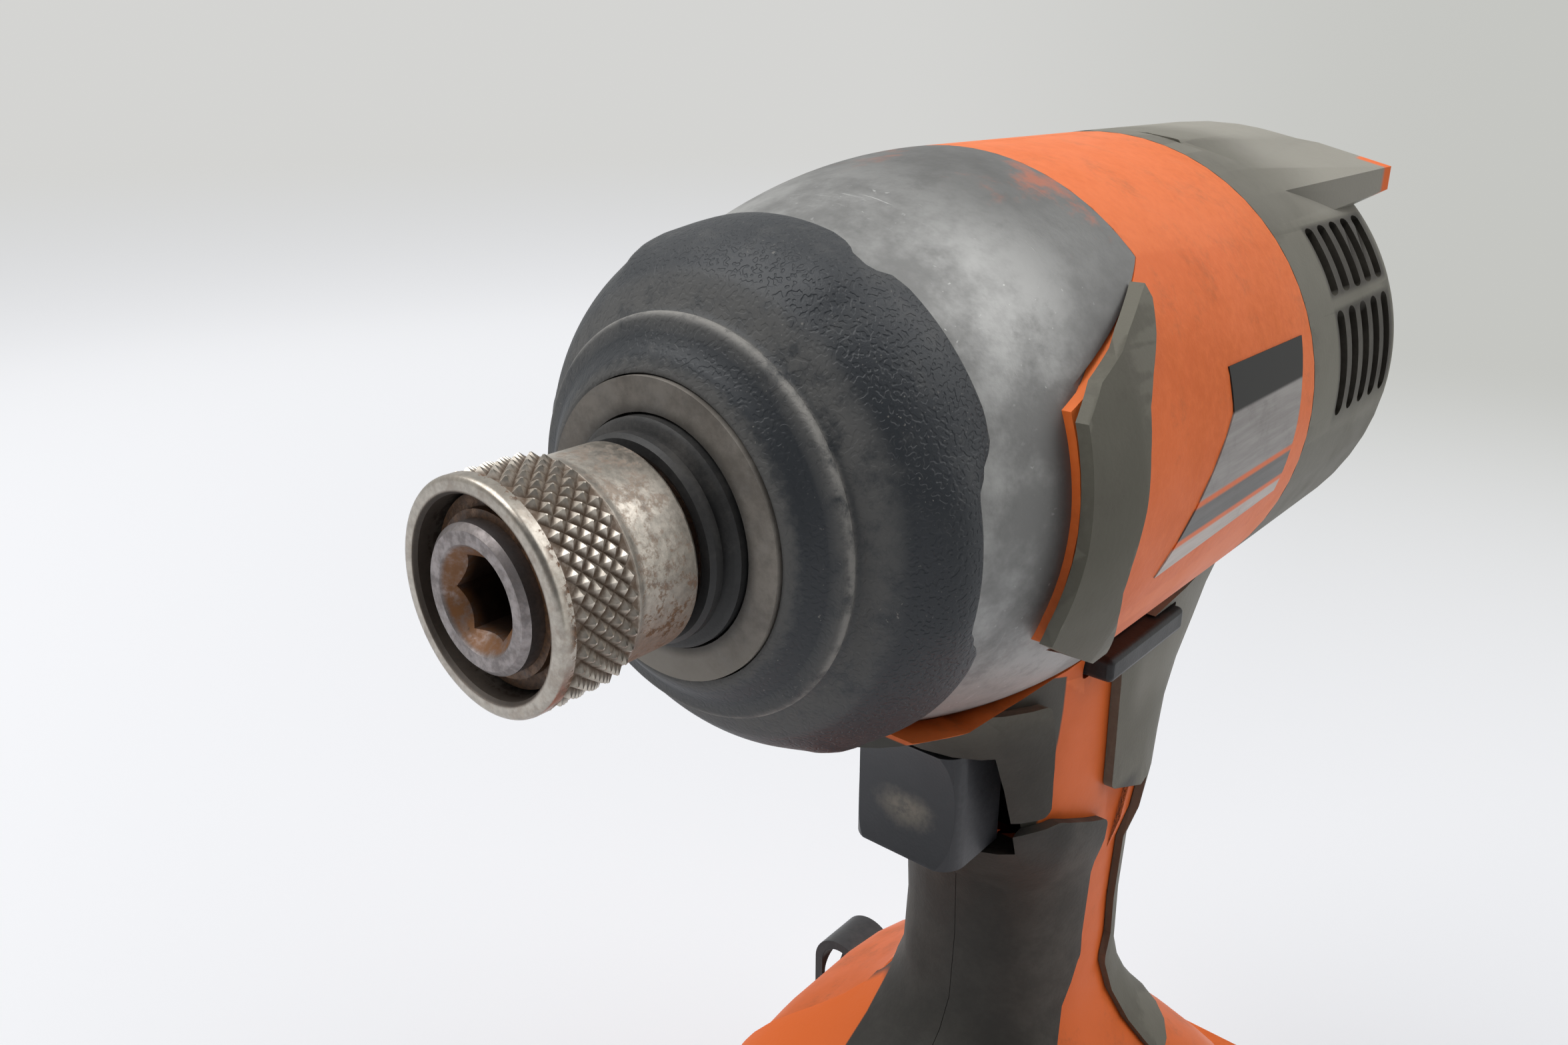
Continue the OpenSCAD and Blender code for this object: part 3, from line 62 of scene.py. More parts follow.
# The spindle axis, and the y of the anvil's face: stations are counted back from it, in mm
AXIS = Vector((0, 0, 0.18))
NOSE = -0.092

# Points of a CAD mesh and of a spun one that are merged, in metres, and faces taken as flat, in degrees
CAD_MERGE = 0.000008
SPUN_MERGE = 0.000004
FLAT_WITHIN = 0.3

# Knurl: radius at its root and its inner radius, first station, length and inset of its inside, in mm
KNURL_ROOT = 9.62
KNURL_INNER = 9.4
KNURL_START = 1.9
KNURL_LENGTH = 6.65
KNURL_INSET = 0.05
# Knurl, in metres: radii outside which faces are poked and vertices are points, and the flat on each point
KNURL_FACES = 0.0095
KNURL_POINTS = 0.0099
KNURL_BLUNT = 0.00013

# Wall of the anvil's tip, in metres, the station where it ends, and how much wider it is shown
TIP_WALL = (0.0051, 0.0061)
TIP_END = 3.2
TIP_SPREAD = 1.08

# Rear edge of the bumper: station by degrees from straight up or down, where it starts and its last station
SCALLOPS = [(0, 36.0), (14, 36.0), (20, 35.0), (25, 33.6), (29, 33.4), (32, 35.1), (36, 35.5), (62, 35.5),
            (68, 35.0), (73, 33.0), (77, 31.8), (90, 31.8)]
SCALLOP_START = 27.0
BUMPER_END = 35.5

# Orange margin in front of the panels: rear station of the panels, share by height, shrink, and panel stretch
PANEL_REAR = 59.7
MARGIN_HEIGHT = [(0.156, 0.0), (0.163, 1.0), (0.199, 1.0), (0.206, 0.0)]
MARGIN_SHRINK = 0.07
PANEL_STRETCH = 0.06

# Grip: how far in it is drawn at the front, the back and the sides, share by height, and full depths
GRIP_IN = (6.5 * MM, 4.5 * MM, 0.14)
GRIP_FRONT = [(0.066, 0.0), (0.09, 1.0), (0.111, 1.0), (0.1215, 0.0)]
GRIP_REAR = [(0.066, 0.0), (0.088, 1.0), (0.134, 1.0), (0.1475, 0.0)]
GRIP_FULL = (0.0235, 0.02)

# Rear cap: cuts across and up it in mm, its vents' old and new angles, and the radii where its wall starts
CAP_ACROSS = (-16.0, -14.0, -9.0, -7.5, -4.5, 0.0, 4.5, 7.5, 9.0, 14.0, 16.0)
CAP_LEVELS = (153.6, 156.5, 161.8, 165.5, 173.0, 181.0, 189.0, 197.0)
VENT_TURNS = [(-51.0, -51.0), (-29.6, -5.0), (-0.6, 19.6), (3.5, 23.2), (36.2, 40.0), (41.5, 41.5)]
CAP_WALL = (24.6, 27.6)
# Hood, in mm: its least radius, half widths and drop of its arch, lift of its tips and where that grows
HOOD_RADIUS = 31.05
HOOD_TOP = 13.0
HOOD_WING = 24.0
HOOD_DROP = 2.1
HOOD_LIFT = 2.0
HOOD_LIFT_ACROSS = (12.0, 22.0)
HOOD_LIFT_ALONG = (28.0, 40.0)

# Side plates: corners as station and height over the axis in mm, radius, thickness and number of strips
PLATE_OUTLINE = [(73.3, 9.9), (94.6, 9.7), (93.4, 4.5), (91.8, -8.4), (60.0, -9.4), (66.4, -2.2), (73.3, 5.2)]
PLATE_RADIUS = 0.03102
PLATE_THICK = 0.00022
PLATE_STRIPS = 16

# Each spring's node, joint, body, axis, fixed end of its box and travel in mm
SPRINGS = (
    ("hammer_spring", "hammer_retract", "spindle", 1, 1, 8.0),
    ("sleeve_spring", "sleeve_pull", "anvil", 1, 0, 3.4),
    ("trigger_spring", "trigger_pull", "housing", 1, 1, 7.0),
    ("latch_spring_left", "latch_left_press", "battery", 0, 0, 3.0),
    ("latch_spring_right", "latch_right_press", "battery", 0, 1, 3.0),
)

# Camera: place in metres, angles in degrees, lens and sensor in mm
EYE = Vector((0.074726, -0.142216, 0.219802))
AZIMUTH = 40.545
ELEVATION = 20.912
LENS = 28.01
SENSOR = 36.0

# Stage: backdrop, its dim side and the span between; floor; name, place, size in metres and watts of lamps
BACKDROP = (0.66, 0.66, 0.645, 1)
BACKDROP_DIM = (0.56, 0.565, 0.54, 1)
DIM_SPAN = (0.05, 0.5)
FLOOR_SIZE = 30.0
FLOOR_LEVEL = -0.0002
LAMP_AIM = Vector((0, -0.04, 0.18))
LAMPS = (
    ("key_softbox", (-0.28, -0.32, 0.88), 0.6, 5.0),
    ("top_softbox", (0.35, 0.3, 0.9), 0.7, 3.2),
    ("fill_card", (0.85, 0.35, 0.4), 0.8, 1.4),
)

ORANGE_GRIME = (0.2, 0.07, 0.03)


# Selection and finishing helpers

def deselect():
    """Leaves edit mode and deselects every object."""
    if bpy.context.object and bpy.context.object.mode != "OBJECT":
        bpy.ops.object.mode_set(mode="OBJECT")
    bpy.ops.object.select_all(action="DESELECT")


def take(obj):
    """Makes an object the only one selected, and the active one."""
    deselect()
    obj.select_set(True)
    bpy.context.view_layer.objects.active = obj


def edit(obj):
    """Enters edit mode on an object with all of its mesh selected."""
    take(obj)
    bpy.ops.object.mode_set(mode="EDIT")
    bpy.ops.mesh.select_mode(type="VERT")
    bpy.ops.mesh.select_all(action="SELECT")


def done():
    """Goes back to object mode."""
    bpy.ops.object.mode_set(mode="OBJECT")


def pick(obj, test, kind="VERT"):
    """Selects, in edit mode, the vertices, edges or faces that pass a test."""
    bpy.ops.mesh.select_mode(type=kind)
    bpy.ops.mesh.select_all(action="DESELECT")
    done()
    parts = {"VERT": obj.data.vertices, "EDGE": obj.data.edges, "FACE": obj.data.polygons}[kind]
    for part in parts:
        part.select = bool(test(part))
    bpy.ops.object.mode_set(mode="EDIT")


def unit(axis):
    """The unit vector along an axis."""
    return [float(k == axis) for k in range(3)]


def cut(axis, places):
    """Cuts the mesh in edit mode across an axis, at each place along it."""
    normal = unit(axis)
    for place in places:
        bpy.ops.mesh.select_all(action="SELECT")
        bpy.ops.mesh.bisect(plane_co=[place * n for n in normal], plane_no=normal)


def apply_all(obj):
    """Applies every modifier of an object in order."""
    take(obj)
    for modifier in list(obj.modifiers):
        bpy.ops.object.modifier_apply(modifier=modifier.name)


def smooth(obj, angle=32):
    """Smooth shading, with edges sharper than an angle kept."""
    take(obj)
    bpy.ops.object.shade_smooth_by_angle(angle=math.radians(angle))


def set_up(obj, body, material, nodes=()):
    """Gives a piece its finish and the body it moves with, and the nodes it stands for."""
    obj.data.materials.clear()
    obj.data.materials.append(material)
    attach(obj, body)
    if nodes:
        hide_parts(*nodes)


def coat(material, *nodes):
    """Gives CAD nodes a finish."""
    for node in nodes:
        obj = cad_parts[node]
        for slot in obj.material_slots:
            slot.material = material
        if not obj.material_slots:
            obj.data.materials.append(material)


# Shapes

def merged_copy(node, name):
    """A copy of a CAD node's mesh, merged, with its flat faces made whole."""
    obj = bpy.data.objects.new(name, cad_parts[node].data.copy())
    bpy.context.collection.objects.link(obj)
    edit(obj)
    bpy.ops.mesh.remove_doubles(threshold=CAD_MERGE)
    bpy.ops.mesh.dissolve_limited(angle_limit=math.radians(FLAT_WITHIN))
    done()
    take(obj)
    bpy.ops.mesh.customdata_custom_splitnormals_clear()
    return obj


def rounded_edges(obj, width, angle, segments):
    """Rounds the sharp edges of a piece as moulded ones are, by a width in mm, and smooths its faces."""
    smooth(obj)
    bevel = obj.modifiers.new("round", "BEVEL")
    bevel.width = width * MM
    bevel.segments = segments
    bevel.limit_method = "ANGLE"
    bevel.angle_limit = math.radians(angle)
    bevel.use_clamp_overlap = True
    shading = obj.modifiers.new("shading", "WEIGHTED_NORMAL")
    shading.keep_sharp = True
    shading.weight = 100
    apply_all(obj)
    return obj


def softened(node, name, width, angle=40, segments=2):
    """A merged copy of a node with its sharp edges rounded."""
    return rounded_edges(merged_copy(node, name), width, angle, segments)


def station(t):
    """The y of a station."""
    return NOSE + t * MM


def reach(point):
    """The distance of a point from the spindle axis."""
    return math.hypot(point.x, point.z - AXIS.z)


def drawn(name, points):
    """A line through points, drawn by extruding a vertex, and left selected in edit mode."""
    deselect()
    bpy.ops.mesh.primitive_plane_add(size=MM, location=points[0])
    obj = bpy.context.object
    obj.name = name
    bpy.ops.object.transform_apply(location=True, rotation=True, scale=True)
    edit(obj)
    bpy.ops.mesh.merge(type="CENTER")
    for start, end in zip(points, points[1:]):
        bpy.ops.mesh.extrude_region_move(TRANSFORM_OT_translate={"value": tuple(end - start)})
    bpy.ops.mesh.select_all(action="SELECT")
    return obj


def spun(name, outline, steps):
    """Closes an outline of radius and station pairs, and spins it round the spindle axis."""
    points = [Vector((0, station(t), AXIS.z + radius * MM)) for radius, t in outline + outline[:1]]
    obj = drawn(name, points)
    bpy.ops.mesh.spin(steps=steps, angle=2 * math.pi, center=AXIS, axis=(0, 1, 0))
    bpy.ops.mesh.select_all(action="SELECT")
    bpy.ops.mesh.remove_doubles(threshold=SPUN_MERGE)
    bpy.ops.mesh.normals_make_consistent(inside=False)
    done()
    return obj


def arc(radius, t, size, start, end, count):
    """Points of an arc in an outline; 0 degrees points outwards and 90 degrees backwards."""
    angles = [math.radians(start + (end - start) * i / count) for i in range(count + 1)]
    return [(radius + size * math.cos(a), t + size * math.sin(a)) for a in angles]


def blended(table, x, eased=True):
    """A value between the rows of a table, eased in and out of each row or on straight lines."""
    for (x0, y0), (x1, y1) in zip(table, table[1:]):
        if x <= x1:
            s = max(0.0, (x - x0) / (x1 - x0))
            return y0 + (y1 - y0) * (s * s * (3 - 2 * s) if eased else s)
    return table[-1][1]


def ramp(value, low, high):
    """How far a value has come from low to high, from 0 to 1."""
    return min(1.0, max(0.0, value - low) / (high - low))


def sleeve_outline():
    """Rim, seat of the knurl, tail, inner shoulder and bore of the sleeve."""
    rim = arc(9.65, 0.8, 0.5, -90, 0, 4) + [(10.15, 1.65), (9.6, 2.0)]
    seat = [(9.45, 2.2), (9.45, 8.35)]
    tail = [(9.62, 8.55), (9.6, 8.75), (9.48, 9.1), (9.42, 9.6)] + arc(9.0, 15.1, 0.4, 0, 90, 4)
    shoulder = [(8.1, 15.5), (8.1, 12.6), (5.96, 12.6), (5.96, 9.6)]
    bore = [(8.6, 9.6), (8.6, 0.7), (8.85, 0.3)]
    return rim + seat + tail + shoulder + bore


def bumper_outline():
    """Front lip, ridge, groove, dome with its rolled edge, and inside of the bumper."""
    lip = [(14.35, 20.2), (14.75, 20.12), (16.2, 21.25), (17.6, 22.45)]
    ridge = arc(18.45, 23.4, 0.8, -80, 55, 8)
    groove = [(19.05, 24.35), (19.45, 24.62), (20.1, 24.95), (21.0, 25.35)]
    dome = arc(14.1, 35.4, 12.45, -50, -3, 16) + arc(26.05, 35.05, 0.5, 0, 90, 4)
    inside = [(25.35, 35.5), (25.16, 35.2), (23.6, 31.0), (22.5, 29.9), (14.4, 22.2)]
    return lip + ridge + groove + dome + inside


def seal_outline():
    """Two lips and the foot of the nose seal."""
    front_lip = [(7.85, 22.0), (7.85, 17.2), (8.4, 16.8), (9.3, 16.8), (9.7, 17.2), (9.7, 18.0), (9.3, 18.3)]
    rear_lip = [(9.7, 18.6), (10.4, 18.75), (10.75, 19.1), (10.75, 20.0)]
    return front_lip + rear_lip + [(10.9, 22.0)]


def knurled_ring(count, rows, height):
    """A ring of squares, poked and dissolved into a lattice of diamonds, each drawn out to a blunt point."""
    def corner(vertex):
        return tuple(round(c, 6) for c in vertex.co)

    def outer(face):
        return abs(face.normal.y) < 0.3 and reach(face.center) > KNURL_FACES

    lattice = [(KNURL_ROOT, KNURL_START + KNURL_LENGTH * i / rows) for i in range(rows + 1)]
    ends = (KNURL_START + KNURL_LENGTH - KNURL_INSET, KNURL_START + KNURL_INSET)
    ring = spun("sleeve_knurl", lattice + [(KNURL_INNER, t) for t in ends], count)
    corners = {corner(v) for v in ring.data.vertices}
    edit(ring)
    pick(ring, outer, "FACE")
    bpy.ops.mesh.poke()
    done()
    old = [corner(v) in corners for v in ring.data.vertices]
    poked = {}
    for polygon in ring.data.polygons:
        fresh = not all(old[v] for v in polygon.vertices)
        for key in polygon.edge_keys:
            poked[key] = poked.get(key, True) and fresh

    def grid_line(line):
        a, b = sorted(line.vertices)
        return old[a] and old[b] and poked[a, b]

    edit(ring)
    pick(ring, grid_line, "EDGE")
    bpy.ops.mesh.dissolve_edges(use_verts=False)
    pick(ring, lambda face: len(face.vertices) == 4 and outer(face), "FACE")
    bpy.ops.mesh.poke(offset=height)
    pick(ring, lambda vertex: reach(vertex.co) > KNURL_POINTS)
    bpy.ops.mesh.bevel(affect="VERTICES", offset=KNURL_BLUNT, segments=1)
    done()
    return ring


def scalloped(bumper):
    """Draws the rear edge of the bumper forwards into scallops."""
    for vertex in bumper.data.vertices:
        t = (vertex.co.y - NOSE) / MM
        turn = abs(math.degrees(math.atan2(vertex.co.x, vertex.co.z - AXIS.z)))
        end = min(blended(SCALLOPS, min(turn, 180 - turn)), BUMPER_END)
        if t > SCALLOP_START:
            share = (t - SCALLOP_START) / (BUMPER_END - SCALLOP_START)
            vertex.co.y = station(SCALLOP_START + share * (end - SCALLOP_START))


def turned_vents(cap):
    """Slides the wall of the rear cap round its axis until the vents sit close under the hood."""
    for vertex in cap.data.vertices:
        up, out = vertex.co.z - AXIS.z, abs(vertex.co.x)
        turn = math.degrees(math.atan2(up, out))
        if not VENT_TURNS[0][0] < turn < VENT_TURNS[-1][0]:
            continue
        radius = math.hypot(up, out)
        slide = blended(VENT_TURNS, turn, eased=False) - turn
        turn = math.radians(turn + slide * ramp(radius / MM, *CAP_WALL))
        vertex.co.z = AXIS.z + radius * math.sin(turn)
        vertex.co.x = math.copysign(radius * math.cos(turn), vertex.co.x)


def rounded_hood():
    """The rear cap with its hood arched across and raised at the tips, and all of its edges rounded."""
    cap = merged_copy("rear_cap", "rear_hood")
    edit(cap)
    cut(0, [place * MM for place in CAP_ACROSS])
    cut(2, [level * MM for level in CAP_LEVELS])
    done()
    for vertex in cap.data.vertices:
        if reach(vertex.co) > HOOD_RADIUS * MM and vertex.co.z > AXIS.z:
            side = abs(vertex.co.x) / MM
            wing = max(0.0, (HOOD_WING - side) / (HOOD_WING - HOOD_TOP))
            fall = (side / HOOD_TOP) ** 2 if side < HOOD_TOP else wing
            flare = ramp(side, *HOOD_LIFT_ACROSS) * ramp(vertex.co.y / MM, *HOOD_LIFT_ALONG)
            vertex.co.z += (HOOD_LIFT * flare - HOOD_DROP * fall) * MM
    turned_vents(cap)
    return rounded_edges(cap, 1.0, 30, 3)


def slimmed(obj):
    """Draws a piece of the grip in below the trigger and along the back of the neck."""
    front, rear, sides = GRIP_IN
    front_full, rear_full = GRIP_FULL
    for vertex in obj.data.vertices:
        waist = blended(GRIP_FRONT, vertex.co.z)
        y = vertex.co.y
        if y < 0:
            vertex.co.y += front * waist * min(1.0, -y / front_full)
        else:
            vertex.co.y -= rear * blended(GRIP_REAR, vertex.co.z) * min(1.0, y / rear_full)
        vertex.co.x *= 1.0 - sides * waist
    return obj


def side_plate(name, sign):
    """A thin plate drawn by its corners, cut into strips and laid round the barrel."""
    corners = [Vector((sign * PLATE_RADIUS, station(t), AXIS.z + z * MM)) for t, z in PLATE_OUTLINE]
    piece = drawn(name, corners)
    bpy.ops.mesh.edge_face_add()
    low = min(z for t, z in PLATE_OUTLINE)
    high = max(z for t, z in PLATE_OUTLINE)
    cut(2, [AXIS.z + (low + (high - low) * k / PLATE_STRIPS) * MM for k in range(1, PLATE_STRIPS)])
    done()
    for vertex in piece.data.vertices:
        z = vertex.co.z - AXIS.z
        vertex.co.x = sign * math.sqrt(PLATE_RADIUS ** 2 - z * z)
    edit(piece)
    bpy.ops.mesh.normals_make_consistent(inside=False)
    done()
    sheet = piece.modifiers.new("sheet", "SOLIDIFY")
    sheet.thickness = PLATE_THICK
    sheet.offset = 0.0
    apply_all(piece)
    smooth(piece)
    return piece


# Shader helpers: all of them add to the tree on the bench

bench = SimpleNamespace(tree=None, shader=None)


def put(kind, inputs=None, **props):
    """Adds a shader node, sets its properties and fills or links its inputs."""
    node = bench.tree.nodes.new("ShaderNode" + kind)
    for key, value in props.items():
        setattr(node, key, value)
    for key, value in (inputs or {}).items():
        fill(node, key, value)
    return node


def fill(node, key, value):
    """Links a socket into an input of a node, or sets the input to a plain value."""
    if isinstance(value, bpy.types.NodeSocket):
        bench.tree.links.new(value, node.inputs[key])
    else:
        node.inputs[key].default_value = value


def calc(operation, a, b=0.0):
    """One step of arithmetic."""
    return put("Math", {0: a, 1: b}, operation=operation).outputs[0]


def plus(a, b):
    """The sum of two values."""
    return calc("ADD", a, b)


def less(a, b):
    """The first value less the second."""
    return calc("SUBTRACT", a, b)


def times(first, *others):
    """The product of masks and numbers."""
    for other in others:
        first = calc("MULTIPLY", first, other)
    return first


def most(first, *others):
    """The strongest of several masks at each point."""
    for other in others:
        first = calc("MAXIMUM", first, other)
    return first


def measure(operation, a, b=(0, 0, 0)):
    """A length or a dot product of vectors."""
    return put("VectorMath", {0: a, 1: b}, operation=operation).outputs["Value"]


def ranged(value, low, high, to_low=0.0, to_high=1.0):
    """Maps a value smoothly from one range to another."""
    inputs = {"Value": value, "From Min": low, "From Max": high, "To Min": to_low, "To Max": to_high}
    return put("MapRange", inputs, interpolation_type="SMOOTHSTEP", clamp=True).outputs[0]


def falling(value, low, high):
    """A mask that falls from 1 to 0 as a value rises."""
    return ranged(value, low, high, 1.0, 0.0)


def between(value, rise, fall):
    """A mask that rises over one span of a value and falls over a later one."""
    return times(ranged(value, *rise), falling(value, *fall))


def around(value, level, half):
    """A mask that rises where a value passes a level, over half a span to either side."""
    return ranged(value, less(level, half), plus(level, half))


def mixed(factor, a, b):
    """Colour a, and b where the factor is 1."""
    return put("Mix", {0: factor, 6: a, 7: b}, data_type="RGBA", clamp_factor=True).outputs[2]


def object_place():
    """Object coordinates."""
    return put("TexCoord").outputs["Object"]


def axes():
    """X, y and z of object coordinates."""
    split = put("SeparateXYZ", {0: object_place()})
    return split.outputs["X"], split.outputs["Y"], split.outputs["Z"]


def noise(scale, detail=3.0, rough=0.6, vector=None):
    """Noise on object coordinates, or on a given vector."""
    vector = vector or object_place()
    inputs = {"Vector": vector, "Scale": scale, "Detail": detail, "Roughness": rough}
    return put("TexNoise", inputs).outputs["Fac"]


def shade(colour, strength=1.0):
    """A colour made darker or lighter, with its alpha."""
    return (*[min(1.0, c * strength) for c in colour[:3]], 1.0)


def uneven(value, low, high, colour, strength):
    """A colour that turns darker or lighter as a value rises."""
    return mixed(ranged(value, low, high), shade(colour), shade(colour, strength))


def use(name, **inputs):
    """Places a node group in a material and gives its outputs."""
    node = bench.tree.nodes.new("ShaderNodeGroup")
    node.node_tree = bpy.data.node_groups[name]
    for key, value in inputs.items():
        fill(node, key.capitalize(), value)
    return node.outputs


def turned():
    """Radius and station of the surface on the spindle axis, in mm."""
    place = use("Turned place")
    return place["Radius"], place["Station"]


def finish_base(name):
    """A new material, its tree and its Principled node laid on the bench."""
    material = bpy.data.materials.new(name)
    material.use_nodes = True
    bench.tree = material.node_tree
    bench.shader = bench.tree.nodes["Principled BSDF"]
    return material


def painted():
    """The colour that the material on the bench has so far, to paint over it."""
    return bench.shader.inputs["Base Color"].links[0].from_socket


def join(**sockets):
    """Links or sets sockets of a Principled node by their names."""
    for key, value in sockets.items():
        fill(bench.shader, key.replace("_", " ").title().replace("Ior", "IOR"), value)


def bumped(height, distance, strength):
    """Bump of a height in metres on a Principled node."""
    node = put("Bump", {"Height": height, "Distance": distance, "Strength": strength})
    join(normal=node.outputs[0])


# Effects that several finishes share

def group(name, outputs, **inputs):
    """Lays a new node group on the bench, with named outputs, and inputs with their defaults."""
    tree = bpy.data.node_groups.new(name, "ShaderNodeTree")
    for label, default in inputs.items():
        socket = tree.interface.new_socket(label, in_out="INPUT", socket_type="NodeSocketFloat")
        socket.default_value = default
    for label in outputs:
        kind = "NodeSocketColor" if label == "Color" else "NodeSocketFloat"
        tree.interface.new_socket(label, in_out="OUTPUT", socket_type=kind)
    bench.tree = tree
    return tree.nodes.new("NodeGroupInput").outputs, tree.nodes.new("NodeGroupOutput")


def turned_place():
    """Radius and station on the spindle axis, in mm."""
    end = group("Turned place", ["Radius", "Station"])[1]
    x, y, z = axes()
    up = less(z, AXIS.z)
    square = plus(times(x, x), times(up, up))
    fill(end, "Radius", times(calc("SQRT", square), 1 / MM))
    fill(end, "Station", times(less(y, NOSE), 1 / MM))


def rust():
    """Spots of rust and their brown."""
    given, end = group("Rust", ["Mask", "Color"], Scale=300.0, Amount=0.5)
    wide = noise(given["Scale"], 6.0, 0.7)
    fine = noise(times(given["Scale"], 5.0), 4.0, 0.7)
    both = plus(times(wide, 0.7), times(fine, 0.3))
    level = less(0.82, times(given["Amount"], 0.6))
    fill(end, "Mask", around(both, level, 0.07))
    tint = mixed(ranged(fine, 0.3, 0.7), (0.07, 0.036, 0.019, 1), (0.2, 0.1, 0.045, 1))
    fill(end, "Color", tint)


def dust():
    """Cloudy dust, a little more of it on faces that look up."""
    given, end = group("Dust", ["Mask"], Scale=250.0, Amount=0.5)
    up = put("SeparateXYZ", {0: put("NewGeometry").outputs["Normal"]}).outputs["Z"]
    lying = plus(noise(given["Scale"], 8.0, 0.75), ranged(up, -0.4, 1.0, -0.06, 0.06))
    level = less(0.85, times(given["Amount"], 0.5))
    fill(end, "Mask", around(lying, level, 0.16))


def edge_wear():
    """Rubbed edges, broken up by noise."""
    given, end = group("Edge wear", ["Mask"], Amount=0.5, Scale=900.0)
    point = put("NewGeometry").outputs["Pointiness"]
    uneven_by = times(less(noise(given["Scale"]), 0.5), 0.06)
    worn = ranged(plus(point, uneven_by), 0.515, 0.56)
    fill(end, "Mask", times(worn, given["Amount"]))


def leather_grain():
    """Pits and soft unevenness of grained rubber."""
    given, end = group("Leather grain", ["Height"], Scale=1500.0, Unevenness=0.35)
    pits = ranged(noise(given["Scale"], 0.0, 0.5), 0.34, 0.5)
    soft = noise(times(given["Scale"], 2.6), 2.0, 0.6)
    fill(end, "Height", plus(pits, times(soft, given["Unevenness"])))


def specks():
    """Small dots in patches."""
    given, end = group("Specks", ["Mask"], Scale=900.0, Amount=0.5)
    grains = noise(given["Scale"], 2.0, 0.5)
    patch = ranged(noise(times(given["Scale"], 0.08), 3.0), 0.38, 0.66)
    level = less(0.78, times(given["Amount"], 0.16))
    dots = ranged(grains, level, plus(level, 0.05))
    fill(end, "Mask", times(dots, patch))


def moulded_grain():
    """Fine grain of moulded plastic, and slow changes of its tone."""
    given, end = group("Moulded grain", ["Height", "Tone"], Scale=2600.0)
    fill(end, "Height", noise(given["Scale"], 2.0, 0.5))
    fill(end, "Tone", noise(times(given["Scale"], 0.02), 4.0, 0.6))


def scuffs():
    """Long scratches in three directions, in patches."""
    given, end = group("Scuffs", ["Mask"], Scale=120.0, Amount=0.5)
    streaks = []
    for turn in (0.4, 1.5, 2.6):
        mapping = {"Vector": object_place(), "Rotation": (turn, turn * 0.7, turn * 1.3), "Scale": (1, 14, 1)}
        along = put("Mapping", mapping).outputs[0]
        streak = noise(times(given["Scale"], 0.7), 5.0, 0.7, along)
        streaks.append(ranged(streak, 0.66, 0.74))
    patch = ranged(noise(times(given["Scale"], 0.35)), 0.42, 0.6)
    fill(end, "Mask", times(most(*streaks), patch, given["Amount"]))


def make_groups():
    """Makes all the shared effects."""
    for effect in (turned_place, rust, dust, edge_wear, leather_grain, specks, moulded_grain, scuffs):
        effect()


# Finishes: zones are heights, depths and breadths in metres, or radii and stations in mm

def plastic(name, colour, dark, rough=0.5, grime=0.35, grain=2600.0, depth=0.00004):
    """Moulded plastic or rubber with fine grain, uneven tone, grime and rubbed edges."""
    material = finish_base(name)
    moulded = use("Moulded grain", scale=grain)
    tone = uneven(moulded["Tone"], 0.35, 0.7, colour, 0.86)
    grimy = times(use("Dust", scale=140.0, amount=grime)["Mask"], 0.55)
    rubbed = shade([c * 1.5 + 0.03 for c in colour])
    worn = use("Edge wear", amount=0.35)["Mask"]
    join(base_color=mixed(worn, mixed(grimy, tone, shade(dark)), rubbed))
    join(roughness=ranged(moulded["Tone"], 0.3, 0.75, rough - 0.06, rough + 0.1))
    join(specular_ior_level=0.28)
    bumped(moulded["Height"], depth, 0.6)
    return material


def steel(name, colour, rough=0.35, rusted=0.2, scale=420.0):
    """Plain worn steel with specks of rust."""
    material = finish_base(name)
    spots = use("Rust", scale=scale, amount=rusted)
    soft = noise(900.0, 4.0, 0.6)
    base = uneven(soft, 0.3, 0.7, colour, 0.7)
    join(base_color=mixed(spots["Mask"], base, spots["Color"]))
    join(roughness=ranged(soft, 0.3, 0.8, rough - 0.08, rough + 0.15))
    join(metallic=less(1.0, spots["Mask"]))
    bumped(spots["Mask"], 0.00005, 0.5)
    return material


def plain_metal(name, colour, rough):
    """An inner metal piece with a little variation."""
    return steel(name, colour, rough, rusted=0.02, scale=700.0)


def knurled_steel(colours):
    """Sleeve steel: bright points, duller rim, brown valleys in the knurl, rust on the worn tail; painted
    shade darkens the tail's lower side and the bore.
    """
    material = finish_base("knurled_steel")
    radius, behind = turned()
    height = axes()[2]
    spots = use("Rust", scale=640.0, amount=0.5)
    grain = noise(1400.0, 5.0, 0.65)
    knurl = between(behind, (1.7, 2.2), (8.3, 8.8))
    tail = ranged(behind, 8.6, 9.2)
    low = ranged(height, 0.172, 0.186, 1.0, 0.35)
    rusty = times(spots["Mask"], plus(times(tail, low), 0.2))
    # Painted shade: the tail darkened towards rust brown on its lower side, where less light falls
    painted_tail_shade = times(tail, ranged(height, 0.17, 0.184, 0.9, 0.0))
    valley = falling(radius, 9.6, 10.15)
    dirty = times(valley, knurl, ranged(grain, 0.2, 0.6, 0.6, 1.0))
    flaked = ranged(noise(620.0, 6.0, 0.75), 0.5, 0.56)
    rim = times(flaked, between(behind, (0.75, 1.7), (2.0, 2.4)))
    # Painted shade: the bore between the sleeve and the anvil darkened almost to black
    inside = ranged(radius, 8.75, 9.1, 0.9, 0.0)
    mask = most(rusty, painted_tail_shade, dirty, rim, inside)
    bright = uneven(grain, 0.3, 0.7, colours.steel, 0.66)
    bright = mixed(ranged(behind, 1.6, 2.1, 0.45, 0.0), bright, shade(colours.steel, 0.4))
    soil = mixed(knurl, spots["Color"], (0.13, 0.088, 0.058, 1))
    soil = mixed(inside, soil, (0.03, 0.022, 0.017, 1))
    join(base_color=mixed(mask, bright, soil))
    join(metallic=less(1.0, times(mask, 0.75)))
    join(roughness=ranged(mask, 0.0, 1.0, 0.34, 0.62))
    bumped(grain, 0.00003, 0.5)
    return material


